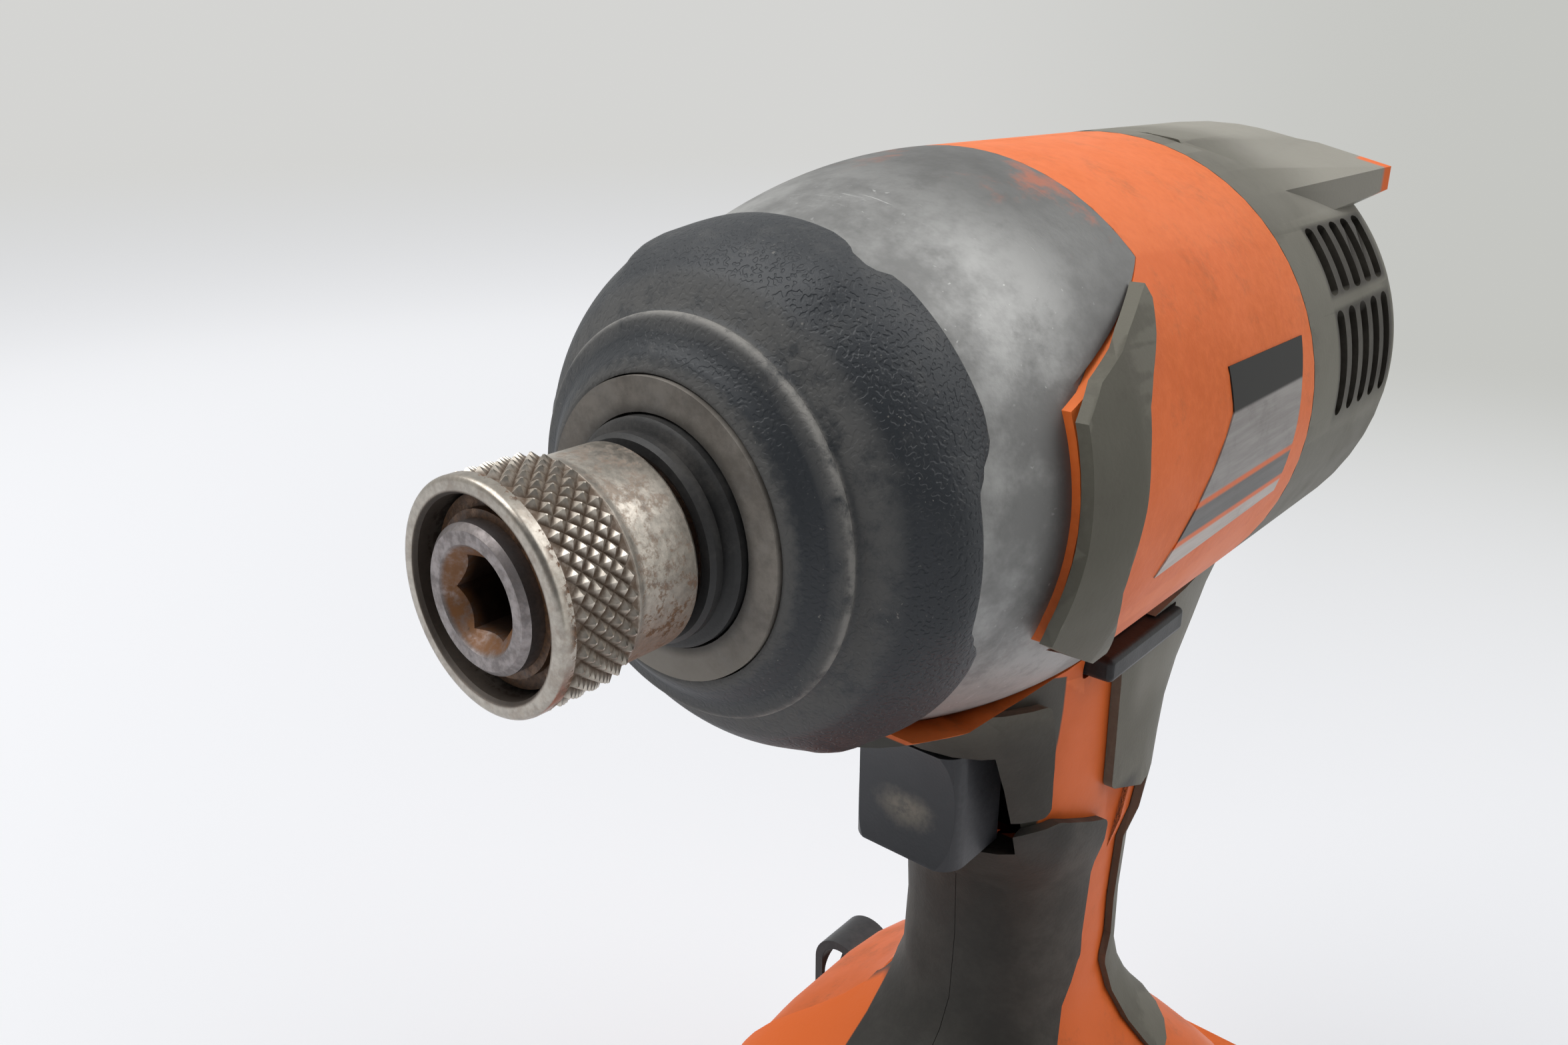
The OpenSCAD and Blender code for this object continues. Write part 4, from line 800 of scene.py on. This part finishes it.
def socket_steel(colours):
    """Anvil steel: dark and oily outside, rust in the hex socket, and painted shade deep in it."""
    material = finish_base("socket_steel")
    radius, behind = turned()
    spots = use("Rust", scale=520.0, amount=0.75)
    grain = noise(1100.0, 5.0, 0.65)
    inner = falling(radius, 4.3, 4.8)
    outer = times(spots["Mask"], ranged(behind, 1.0, 2.4, 0.12, 0.8))
    mask = most(times(inner, ranged(grain, 0.25, 0.6, 0.4, 1.0)), outer)
    base = uneven(grain, 0.3, 0.7, colours.socket, 0.6)
    brown = mixed(times(inner, spots["Mask"]), spots["Color"], (0.21, 0.09, 0.03, 1))
    # Painted shade: the hex socket darkened almost to black the deeper it goes
    socket_shade = times(inner, ranged(behind, 0.9, 2.6), 0.9)
    rusted = mixed(mask, base, brown)
    join(base_color=mixed(socket_shade, rusted, (0.012, 0.008, 0.006, 1)))
    join(metallic=less(0.9, times(mask, 0.6)))
    join(roughness=ranged(grain, 0.3, 0.7, 0.34, 0.55))
    bumped(grain, 0.00004, 0.5)
    return material


def bumper_rubber(colours):
    """Leather-grained rubber: finer on the front cone, dusty along the ridge and rubbed at its edges."""
    material = finish_base("bumper_rubber")
    behind = turned()[1]
    crest = between(behind, (22.3, 23.2), (23.9, 24.5))
    groove = between(behind, (24.2, 24.7), (25.2, 26.8))
    cloudy = ranged(noise(300.0, 6.0, 0.72), 0.26, 0.56)
    powder = times(cloudy, plus(crest, times(groove, 0.35)))
    dusty = times(use("Dust", scale=210.0, amount=0.36)["Mask"], 0.18)
    dusty = plus(dusty, times(powder, 0.95))
    dots = times(use("Specks", scale=2300.0, amount=0.55)["Mask"], 0.7)
    mask = most(dusty, dots, use("Edge wear", amount=0.35)["Mask"])
    join(base_color=mixed(mask, shade(colours.bumper), (0.27, 0.26, 0.24, 1)))
    join(roughness=ranged(mask, 0.0, 0.5, 0.5, 0.8))
    join(specular_ior_level=0.42)
    grain = use("Leather grain", scale=2300.0)["Height"]
    bumped(times(grain, ranged(behind, 25.5, 28.0, 0.35, 1.0)), 0.00012, 0.6)
    return material


def case_coat(colours):
    """Pewter coat on cast metal: dark smears, pale flecks, painted shade at the rear top, a painted orange
    reflection of the band, a dusty nose ring painted lighter towards its bottom.
    """
    material = finish_base("case_coat")
    radius, behind = turned()
    height = axes()[2]
    smear = noise(55.0, 6.0, 0.68)
    stain = ranged(noise(240.0, 6.0, 0.72), 0.52, 0.72, 0.0, 0.55)
    scuff = use("Scuffs", scale=120.0, amount=0.8)["Mask"]
    fleck = times(use("Specks", scale=1300.0, amount=0.5)["Mask"], 0.7)
    base = mixed(ranged(smear, 0.4, 0.62), shade(colours.case, 0.56), shade(colours.case))
    base = mixed(stain, base, shade(colours.case, 0.45))
    base = mixed(most(scuff, fleck), base, shade(colours.case, 1.9))
    # Painted shade: the top of the case darkened towards its rear edge under the orange band
    painted_shade = times(ranged(behind, 40.0, 55.0, 0.0, 0.75), ranged(height, 0.178, 0.19))
    base = mixed(painted_shade, base, shade(colours.case, 0.3))
    # Painted reflection: the orange band mirrored in the top of the case, broken up by noise
    orange_reflection = ranged(noise(70.0, 6.0, 0.7), 0.53, 0.68)
    orange_reflection = times(ranged(behind, 46.0, 60.0), ranged(height, 0.193, 0.202), orange_reflection, 0.45)
    base = mixed(orange_reflection, base, shade(colours.orange))
    front = falling(behind, 20.4, 21.6)
    powder = times(front, ranged(noise(380.0, 6.0, 0.7), 0.25, 0.55, 0.8, 1.0))
    cloud = ranged(noise(240.0, 6.0, 0.7), 0.35, 0.65)
    ring = mixed(cloud, (0.15, 0.134, 0.115, 1), (0.24, 0.218, 0.19, 1))
    # Painted light: the nose ring lighter towards its bottom
    ring = mixed(ranged(height, 0.166, 0.176, 0.75, 0.0), ring, (0.36, 0.33, 0.285, 1))
    ring = mixed(ranged(radius, 10.9, 12.2, 0.75, 0.0), ring, (0.03, 0.027, 0.023, 1))
    join(base_color=mixed(powder, base, ring))
    join(metallic=ranged(powder, 0.0, 0.9, 0.5, 0.05))
    gloss = ranged(smear, 0.3, 0.7, 0.56, 0.42)
    join(roughness=plus(gloss, times(powder, 0.22)))
    grain = plus(noise(1300.0, 3.0, 0.6), times(scuff, 0.6))
    bumped(grain, 0.00006, 0.55)
    return material


def shell_plastic(colours):
    """Orange housing with the olive collar that runs round the neck in front, over the trigger, its olive
    darkened as painted shade.
    """
    material = plastic("orange_plastic", colours.orange, ORANGE_GRIME, 0.5, 0.3)
    base = painted()
    depth, height = axes()[1:]
    rise = calc("MINIMUM", 0.1547, less(0.1439, times(depth, 0.27)))
    under = falling(less(height, rise), -0.0001, 0.0001)
    front = falling(depth, -0.0193, -0.0189)
    collar = times(under, ranged(height, 0.122, 0.1224), front)
    # Painted shade: the collar's olive darkened, as it lies in shade under the case
    dark = mixed(noise(160.0, 5.0, 0.7), shade(colours.overmould, 0.6), shade(colours.grip))
    join(base_color=mixed(collar, base, dark))
    return material


def skin_rubber(colours):
    """Overmoulded rubber: olive grey at the neck, lighter at the palm as painted light, brown-black where the
    fingers close, and painted shade at the front of the neck.
    """
    material = plastic("skin_rubber", colours.overmould, colours.grime, 0.6, 0.4, 1800.0, 0.00008)
    base = painted()
    x, depth, height = axes()
    handled = times(falling(height, 0.1262, 0.1284), falling(depth, -0.002, 0.003))
    # Painted shade at the front of the neck, under the case
    shaded = times(ranged(height, 0.139, 0.15, 0.75, 0.2), falling(depth, -0.016, -0.013))
    worn = uneven(noise(160.0, 6.0, 0.7), 0.35, 0.7, colours.grip, 1.5)
    # Painted light: the upper back of the grip made pale olive towards the top
    painted_light_patch = times(ranged(height, 0.134, 0.142, 0.0, 0.4), ranged(depth, -0.006, -0.001))
    skin = mixed(painted_light_patch, base, (0.33, 0.318, 0.28, 1))
    skin = mixed(most(handled, shaded), skin, worn)
    skin = mixed(times(shaded, 0.6), skin, (0.02, 0.019, 0.017, 1))
    sides = ranged(calc("ABSOLUTE", x), 0.0131, 0.0134)
    corner = times(falling(height, 0.0835, 0.086), falling(depth, -0.0145, -0.0125), sides)
    join(base_color=mixed(corner, skin, shade(colours.orange)))
    return material


def cap_plastic(colours):
    """The rear cap's grey moulding: painted shade round the vents under the hood, painted light on the hood's
    top, orange at the hood's tips.
    """
    material = plastic("cap_plastic", colours.overmould, colours.grime, 0.55)
    base = painted()
    x, depth, height = axes()
    breadth = calc("ABSOLUTE", x)
    radius = turned()[0]
    upper = between(height, (0.1915, 0.1925), (0.1998, 0.2004))
    lower = between(height, (0.175, 0.18), (0.1901, 0.1911))
    along = between(depth, (0.0145, 0.0155), (0.0362, 0.0375))
    cloud = ranged(noise(120.0, 5.0, 0.7), 0.3, 0.6, 0.7, 0.95)
    # Painted shade: dark bands round the vents, under the hood
    painted_shade = times(most(upper, lower), ranged(breadth, 0.017, 0.021), along, cloud)
    base = mixed(painted_shade, base, (0.035, 0.03, 0.024, 1))
    # Painted light: the top of the hood made pale, more so towards its rear
    pale = times(ranged(height, 0.1995, 0.2015), ranged(depth, 0.016, 0.03, 0.15, 0.7))
    pale = times(pale, ranged(radius, 29.6, 30.9))
    base = mixed(pale, base, (0.36, 0.343, 0.295, 1))
    tip = times(ranged(depth, 0.0385, 0.0392), ranged(height, 0.1985, 0.199))
    tip = times(tip, ranged(radius, 31.1, 31.3), ranged(breadth, 0.0215, 0.0222))
    join(base_color=mixed(tip, base, shade(colours.orange)))
    return material


def trigger_plastic(colours):
    """Black satin plastic, rubbed pale where the finger pulls."""
    satin = shade(colours.black, 3.6)[:3]
    material = plastic("trigger_plastic", satin, (0.07, 0.064, 0.056), 0.36, 0.25)
    base = painted()
    x, depth, height = axes()
    ragged = times(less(noise(300.0, 5.0, 0.7), 0.5), 0.003)
    offset = {"X": times(x, 0.6), "Z": less(height, 0.1297)}
    away = measure("LENGTH", put("CombineXYZ", offset).outputs[0])
    mark = ranged(plus(away, ragged), 0.0004, 0.0034, 0.75, 0.0)
    worn = ranged(noise(500.0, 5.0), 0.3, 0.6, 0.35, 1.0)
    rubbed = times(mark, falling(depth, -0.0302, -0.0292), worn)
    join(base_color=mixed(rubbed, base, (0.33, 0.29, 0.23, 1)))
    return material


def plate_finish(colours):
    """Plain side plate: a charcoal field, a brushed silver field, and a grey and a pale stripe under them."""
    material = finish_base("side_plate")
    height = axes()[2]
    brushed = put("Mapping", {"Vector": object_place(), "Scale": (1, 0.06, 1)}).outputs[0]
    grain = ranged(noise(900.0, 4.0, 0.7, brushed), 0.3, 0.7)
    silver = mixed(grain, (0.36, 0.34, 0.325, 1), (0.27, 0.25, 0.24, 1))
    grey = mixed(grain, (0.16, 0.155, 0.15, 1), (0.12, 0.117, 0.113, 1))
    pale = mixed(grain, (0.6, 0.54, 0.5, 1), (0.5, 0.44, 0.4, 1))
    orange = shade(colours.orange)
    field = silver
    for top, tint in ((0.1776, orange), (0.1769, grey), (0.174, orange), (0.1733, pale)):
        field = mixed(falling(height, top - 0.0004, top), field, tint)
    dirty = times(use("Dust", scale=160.0, amount=0.5)["Mask"], 0.4)
    field = mixed(dirty, field, shade(colours.grime))
    upper = ranged(height, 0.1849, 0.1854)
    join(base_color=mixed(upper, field, shade(colours.plate)))
    join(roughness=ranged(upper, 0.0, 1.0, 0.42, 0.55))
    join(specular_ior_level=0.25)
    return material


# Stage

def view_axes():
    """The camera's directions to the right and back."""
    turn, lift = math.radians(AZIMUTH), math.radians(ELEVATION)
    right = Vector((math.cos(turn), math.sin(turn), 0))
    back = Vector((math.sin(turn) * math.cos(lift), -math.cos(turn) * math.cos(lift), math.sin(lift)))
    return right, back


def place_camera(scene):
    """The camera at the photographed place and angle."""
    camera = bpy.data.objects.new("photo_camera", bpy.data.cameras.new("photo_camera"))
    scene.collection.objects.link(camera)
    right, back = view_axes()
    facing = Matrix((right, back.cross(right), back)).transposed().to_4x4()
    camera.matrix_world = Matrix.Translation(EYE) @ facing
    camera.data.sensor_width = SENSOR
    camera.data.lens = LENS
    camera.data.clip_start = 0.005
    scene.camera = camera


def floor_finish():
    """Matt white, brighter with distance, then the backdrop's grey; see-through from below."""
    material = finish_base("pale_floor")
    bench.tree.nodes.clear()
    right = view_axes()[0]
    place = object_place()
    distance = measure("LENGTH", place)
    heading = put("VectorMath", {0: place}, operation="NORMALIZE").outputs["Vector"]
    dim = ranged(measure("DOT_PRODUCT", heading, tuple(right)), *DIM_SPAN)
    spread = plus(1.0, times(dim, 2.2))
    far = ranged(times(distance, spread), 0.45, 3.0)
    rays = put("LightPath").outputs
    seen = most(rays["Is Camera Ray"], rays["Is Glossy Ray"], rays["Is Transmission Ray"])
    matt = put("BsdfDiffuse", {"Color": (0.84, 0.845, 0.86, 1)})
    hazy = times(seen, ranged(distance, 0.1, 1.0, 0.06, 0.45))
    haze = put("Emission", {"Color": (0.98, 0.985, 1, 1), "Strength": hazy})
    near = put("AddShader", {0: matt.outputs[0], 1: haze.outputs[0]})
    glow = put("Emission", {"Color": mixed(dim, BACKDROP, BACKDROP_DIM), "Strength": seen})
    cover = put("MixShader", {0: far, 1: near.outputs[0], 2: glow.outputs[0]})
    below = put("NewGeometry").outputs["Backfacing"]
    clear = put("BsdfTransparent")
    sheet = put("MixShader", {0: below, 1: cover.outputs[0], 2: clear.outputs[0]})
    put("OutputMaterial", {"Surface": sheet.outputs[0]})
    return material


def studio_world():
    """The backdrop as it is seen, and soft light, dimmer from behind the camera."""
    world = bpy.data.worlds.new("studio")
    world.use_nodes = True
    bench.tree = world.node_tree
    right, back = view_axes()
    rays = put("LightPath").outputs
    way = put("TexCoord").outputs["Generated"]
    front = ranged(measure("DOT_PRODUCT", way, tuple(back)), 0.05, 0.75)
    soft = mixed(front, (0.44, 0.45, 0.47, 1), (0.1, 0.1, 0.105, 1))
    mirrored = mixed(front, BACKDROP, (0.16, 0.16, 0.16, 1))
    bounced = mixed(rays["Is Glossy Ray"], soft, mirrored)
    dim = ranged(measure("DOT_PRODUCT", way, tuple(right)), *DIM_SPAN)
    seen = most(rays["Is Camera Ray"], rays["Is Transmission Ray"])
    shown = mixed(seen, bounced, mixed(dim, BACKDROP, BACKDROP_DIM))
    fill(bench.tree.nodes["Background"], "Color", shown)
    return world


def hang_lamps(scene):
    """Soft area lamps, aimed at the nose."""
    for name, place, size, power in LAMPS:
        lamp = bpy.data.lights.new(name, "AREA")
        lamp.size = size
        lamp.energy = power
        obj = bpy.data.objects.new(name, lamp)
        scene.collection.objects.link(obj)
        obj.visible_camera = False
        aim = (LAMP_AIM - Vector(place)).to_track_quat("-Z", "Y")
        obj.matrix_world = Matrix.Translation(place) @ aim.to_matrix().to_4x4()


# Settings, operators and panel

class DriverColours(bpy.types.PropertyGroup):
    """Colours that a user would change."""

    orange: FloatVectorProperty(
        name="Orange", description="Housing plastic", subtype="COLOR", default=(0.8, 0.155, 0.026))
    overmould: FloatVectorProperty(
        name="Overmould", description="Grey rubber and rear cap", subtype="COLOR",
        default=(0.135, 0.128, 0.1))
    grip: FloatVectorProperty(
        name="Grip", description="Handled rubber of the grip", subtype="COLOR", default=(0.052, 0.048, 0.041))
    grime: FloatVectorProperty(
        name="Grime", description="Dirt in the surface", subtype="COLOR", default=(0.08, 0.068, 0.055))
    bumper: FloatVectorProperty(
        name="Bumper", description="Nose rubber", subtype="COLOR", default=(0.023, 0.027, 0.032))
    case: FloatVectorProperty(
        name="Hammer case", description="Pewter coat", subtype="COLOR", default=(0.37, 0.37, 0.36))
    steel: FloatVectorProperty(
        name="Sleeve steel", description="Worn sleeve", subtype="COLOR", default=(0.64, 0.59, 0.52))
    socket: FloatVectorProperty(
        name="Socket steel", description="Anvil and hex socket", subtype="COLOR",
        default=(0.33, 0.305, 0.305))
    black: FloatVectorProperty(
        name="Black plastic", description="Trigger and selector", subtype="COLOR",
        default=(0.016, 0.0165, 0.018))
    plate: FloatVectorProperty(
        name="Side plate", description="Charcoal field of the side plates", subtype="COLOR",
        default=(0.022, 0.022, 0.021))


class DriverSizes(bpy.types.PropertyGroup):
    """Sizes and counts that a user would change."""

    knurl_count: IntProperty(
        name="Knurl count", description="Diamonds round the sleeve", default=38, min=24, max=60)
    knurl_rows: IntProperty(
        name="Knurl rows", description="Rows of diamonds along the sleeve", default=4, min=2, max=8)
    knurl_height: FloatProperty(
        name="Knurl height", description="Height of a diamond", default=0.00074, unit="LENGTH")


class DRIVER_OT_sleeve(bpy.types.Operator):
    """The knurled sleeve, the anvil, and finishes of the bit lock"""

    bl_idname = "driver.sleeve"
    bl_label = "Sleeve and socket"

    def execute(self, context):
        sizes, colours = context.scene.driver_sizes, context.scene.driver_colours
        finish = knurled_steel(colours)
        sleeve = spun("sleeve_body", sleeve_outline(), 128)
        smooth(sleeve, 30)
        set_up(sleeve, "sleeve", finish, ["sleeve"])
        ring = knurled_ring(sizes.knurl_count, sizes.knurl_rows, sizes.knurl_height)
        set_up(ring, "sleeve", finish, ())
        socket = softened("anvil", "bit_socket", 0.2, angle=30)
        for vertex in socket.data.vertices:
            if TIP_WALL[0] < reach(vertex.co) < TIP_WALL[1] and vertex.co.y < station(TIP_END):
                vertex.co.x *= TIP_SPREAD
                vertex.co.z = AXIS.z + (vertex.co.z - AXIS.z) * TIP_SPREAD
        set_up(socket, "anvil", socket_steel(colours), ["anvil"])
        coat(steel("clip_steel", (0.2, 0.13, 0.09), 0.5, 0.6), "sleeve_clip", "sleeve_washer")
        coat(steel("ball_steel", (0.6, 0.6, 0.6), 0.2, 0.02), "lock_balls", "cam_balls")
        return {"FINISHED"}


class DRIVER_OT_bumper(bpy.types.Operator):
    """The rubber nose bumper with its ridge and scalloped rear edge, and the nose seal"""

    bl_idname = "driver.bumper"
    bl_label = "Nose bumper"

    def execute(self, context):
        colours = context.scene.driver_colours
        bumper = spun("rubber_bumper", bumper_outline(), 180)
        scalloped(bumper)
        smooth(bumper, 50)
        set_up(bumper, "housing", bumper_rubber(colours), ["nose_bumper"])
        seal = spun("lip_seal", seal_outline(), 96)
        smooth(seal, 35)
        rubber = plastic("seal_rubber", (0.02, 0.02, 0.02), (0.12, 0.11, 0.1), 0.5, 0.5)
        set_up(seal, "housing", rubber, ["nose_seal"])
        coat(case_coat(colours), "hammer_case")
        return {"FINISHED"}


class DRIVER_OT_housing(bpy.types.Operator):
    """The two housing halves, the rubber skins, the side panels, the rear cap and the side plates"""

    bl_idname = "driver.housing"
    bl_label = "Housing and skins"

    def execute(self, context):
        colours = context.scene.driver_colours
        orange = shell_plastic(colours)
        skin = skin_rubber(colours)
        panel = plastic("panel_rubber", colours.overmould, colours.grime, 0.6, 0.45, 1800.0, 0.00006)
        for side in ("left", "right"):
            shell = slimmed(softened("housing_" + side, "clamshell_" + side, 0.3))
            for vertex in shell.data.vertices:
                ahead = max(0.0, station(PANEL_REAR) - vertex.co.y)
                vertex.co.y += MARGIN_SHRINK * ahead * blended(MARGIN_HEIGHT, vertex.co.z)
            set_up(shell, "housing", orange, ["housing_" + side])
            rubber = slimmed(softened("grip_" + side, "grip_skin_" + side, 0.45))
            set_up(rubber, "housing", skin, ["grip_" + side])
            pad = softened("side_panel_" + side, "panel_skin_" + side, 0.5, 30, 3)
            for vertex in pad.data.vertices:
                vertex.co.y -= PANEL_STRETCH * (station(PANEL_REAR) - vertex.co.y)
            set_up(pad, "housing", panel, ["side_panel_" + side])
        set_up(rounded_hood(), "housing", cap_plastic(colours), ["rear_cap"])
        plate = plate_finish(colours)
        for side, sign in (("left", 1), ("right", -1)):
            set_up(side_plate("side_plate_" + side, sign), "housing", plate, ())
        return {"FINISHED"}


class DRIVER_OT_controls(bpy.types.Operator):
    """The trigger, the direction selector, the belt hook and the screws"""

    bl_idname = "driver.controls"
    bl_label = "Controls and hook"

    def execute(self, context):
        colours = context.scene.driver_colours
        black = plastic("black_plastic", colours.black, (0.06, 0.055, 0.05), 0.4, 0.25)
        pull = softened("trigger", "trigger_pull", 1.1, 30, 4)
        set_up(pull, "trigger", trigger_plastic(colours), ["trigger"])
        bar = softened("selector", "selector_bar", 0.7, 30, 3)
        set_up(bar, "selector", black, ["selector"])
        hook = softened("belt_hook", "belt_clip", 0.35, 30)
        hook_coat = plastic("hook_coat", (0.03, 0.03, 0.032), (0.1, 0.09, 0.08), 0.45, 0.3)
        set_up(hook, "housing", hook_coat, ["belt_hook"])
        dark = steel("screw_black", (0.07, 0.07, 0.07), 0.4, 0.15)
        screws = slimmed(softened("housing_screws", "shell_screws", 0.3))
        set_up(screws, "housing", dark, ["housing_screws"])
        brass = plain_metal("insert_brass", (0.5, 0.34, 0.13), 0.35)
        coat(dark, "cap_screws", "hook_screw", "battery_screws", "plate_screws")
        coat(black, "trigger_switch", "terminal_block", "gear_plate", "end_bell", "cooling_fan")
        coat(brass, "hook_inserts", "anvil_bush", "battery_contacts")
        return {"FINISHED"}


class DRIVER_OT_battery(bpy.types.Operator):
    """The battery pack with its lid and latch buttons, and finishes of its insides"""

    bl_idname = "driver.battery"
    bl_label = "Battery pack"

    def execute(self, context):
        colours = context.scene.driver_colours
        black = plastic("pack_plastic", (0.035, 0.035, 0.033), (0.09, 0.08, 0.07), 0.5, 0.35)
        orange = plastic("pack_orange", colours.orange, ORANGE_GRIME, 0.5, 0.3)
        base = softened("battery_base", "pack_base", 1.2, segments=3)
        set_up(base, "battery", black, ["battery_base"])
        lid = softened("battery_lid", "pack_lid", 0.6)
        set_up(lid, "battery", orange, ["battery_lid"])
        for side in ("left", "right"):
            button = softened("latch_" + side, "latch_button_" + side, 0.7, segments=3)
            set_up(button, "latch_" + side, black, ["latch_" + side])
        coat(plastic("cell_wrap", (0.05, 0.2, 0.16), (0.05, 0.05, 0.05), 0.3, 0.1), "battery_cells")
        coat(plastic("holder_plastic", (0.1, 0.1, 0.095), (0.06, 0.06, 0.05), 0.5, 0.2), "cell_holder")
        coat(plastic("board_lacquer", (0.02, 0.12, 0.05), (0.05, 0.05, 0.04), 0.3, 0.2), "battery_board")
        return {"FINISHED"}


class DRIVER_OT_inside(bpy.types.Operator):
    """The springs, and finishes of the motor, gears and hammer inside the housing"""

    bl_idname = "driver.inside"
    bl_label = "Inner pieces"

    def execute(self, context):
        wire = steel("spring_steel", (0.3, 0.3, 0.31), 0.35, 0.05)
        for node, joint, body, axis, end, travel in SPRINGS:
            coil = merged_copy(node, node.replace("spring", "coil"))
            smooth(coil)
            set_up(coil, body, wire, [node])
            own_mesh(coil)
        dark = plain_metal("dark_steel", (0.22, 0.215, 0.21), 0.35)
        ground = plain_metal("ground_steel", (0.55, 0.55, 0.55), 0.25)
        ferrite = plastic("magnet_ferrite", (0.03, 0.03, 0.03), (0.06, 0.06, 0.06), 0.6, 0.2)
        coat(dark, "hammer", "cam_spindle", "planet_gear_left", "planet_gear_right", "ring_gear")
        coat(ground, "planet_pins", "spindle_bearing", "sun_pinion", "motor_shaft", "motor_bearings")
        coat(plain_metal("can_plating", (0.5, 0.5, 0.5), 0.4), "motor_can")
        coat(plain_metal("winding_copper", (0.6, 0.26, 0.1), 0.35), "armature", "commutator")
        coat(ferrite, "motor_magnets", "carbon_brushes")
        return {"FINISHED"}


class DRIVER_OT_stage(bpy.types.Operator):
    """The pale floor, the soft lights and the camera at the photographed angle"""

    bl_idname = "driver.stage"
    bl_label = "Stage"

    def execute(self, context):
        scene = context.scene
        place_camera(scene)
        deselect()
        bpy.ops.mesh.primitive_plane_add(size=FLOOR_SIZE, location=(0, 0, FLOOR_LEVEL))
        floor = context.object
        floor.name = "pale_floor"
        floor.data.materials.append(floor_finish())
        scene.world = studio_world()
        hang_lamps(scene)
        scene.view_settings.view_transform = "Standard"
        return {"FINISHED"}


STEPS = (
    DRIVER_OT_sleeve,
    DRIVER_OT_bumper,
    DRIVER_OT_housing,
    DRIVER_OT_controls,
    DRIVER_OT_battery,
    DRIVER_OT_inside,
    DRIVER_OT_stage,
)


class DRIVER_PT_panel(bpy.types.Panel):
    """Lists the driver's pieces, sizes and colours"""

    bl_label = "Impact driver"
    bl_idname = "DRIVER_PT_panel"
    bl_space_type = "VIEW_3D"
    bl_region_type = "UI"
    bl_category = "Driver"

    def draw(self, context):
        for step in STEPS:
            self.layout.operator(step.bl_idname)
        for settings in (context.scene.driver_sizes, context.scene.driver_colours):
            for name in settings.bl_rna.properties.keys():
                if name not in ("rna_type", "name"):
                    self.layout.prop(settings, name)


CLASSES = (DriverColours, DriverSizes, *STEPS, DRIVER_PT_panel)


def register():
    """Adds the settings, the operators and the panel to Blender."""
    for cls in CLASSES:
        bpy.utils.register_class(cls)
    bpy.types.Scene.driver_colours = PointerProperty(type=DriverColours)
    bpy.types.Scene.driver_sizes = PointerProperty(type=DriverSizes)


def unregister():
    """Takes them out again."""
    del bpy.types.Scene.driver_sizes
    del bpy.types.Scene.driver_colours
    for cls in reversed(CLASSES):
        bpy.utils.unregister_class(cls)


def main():
    """Builds every piece in order."""
    register()
    make_groups()
    bpy.ops.driver.sleeve()
    bpy.ops.driver.bumper()
    bpy.ops.driver.housing()
    bpy.ops.driver.controls()
    bpy.ops.driver.battery()
    bpy.ops.driver.inside()
    bpy.ops.driver.stage()
    deselect()


if __name__ == "__main__":
    main()
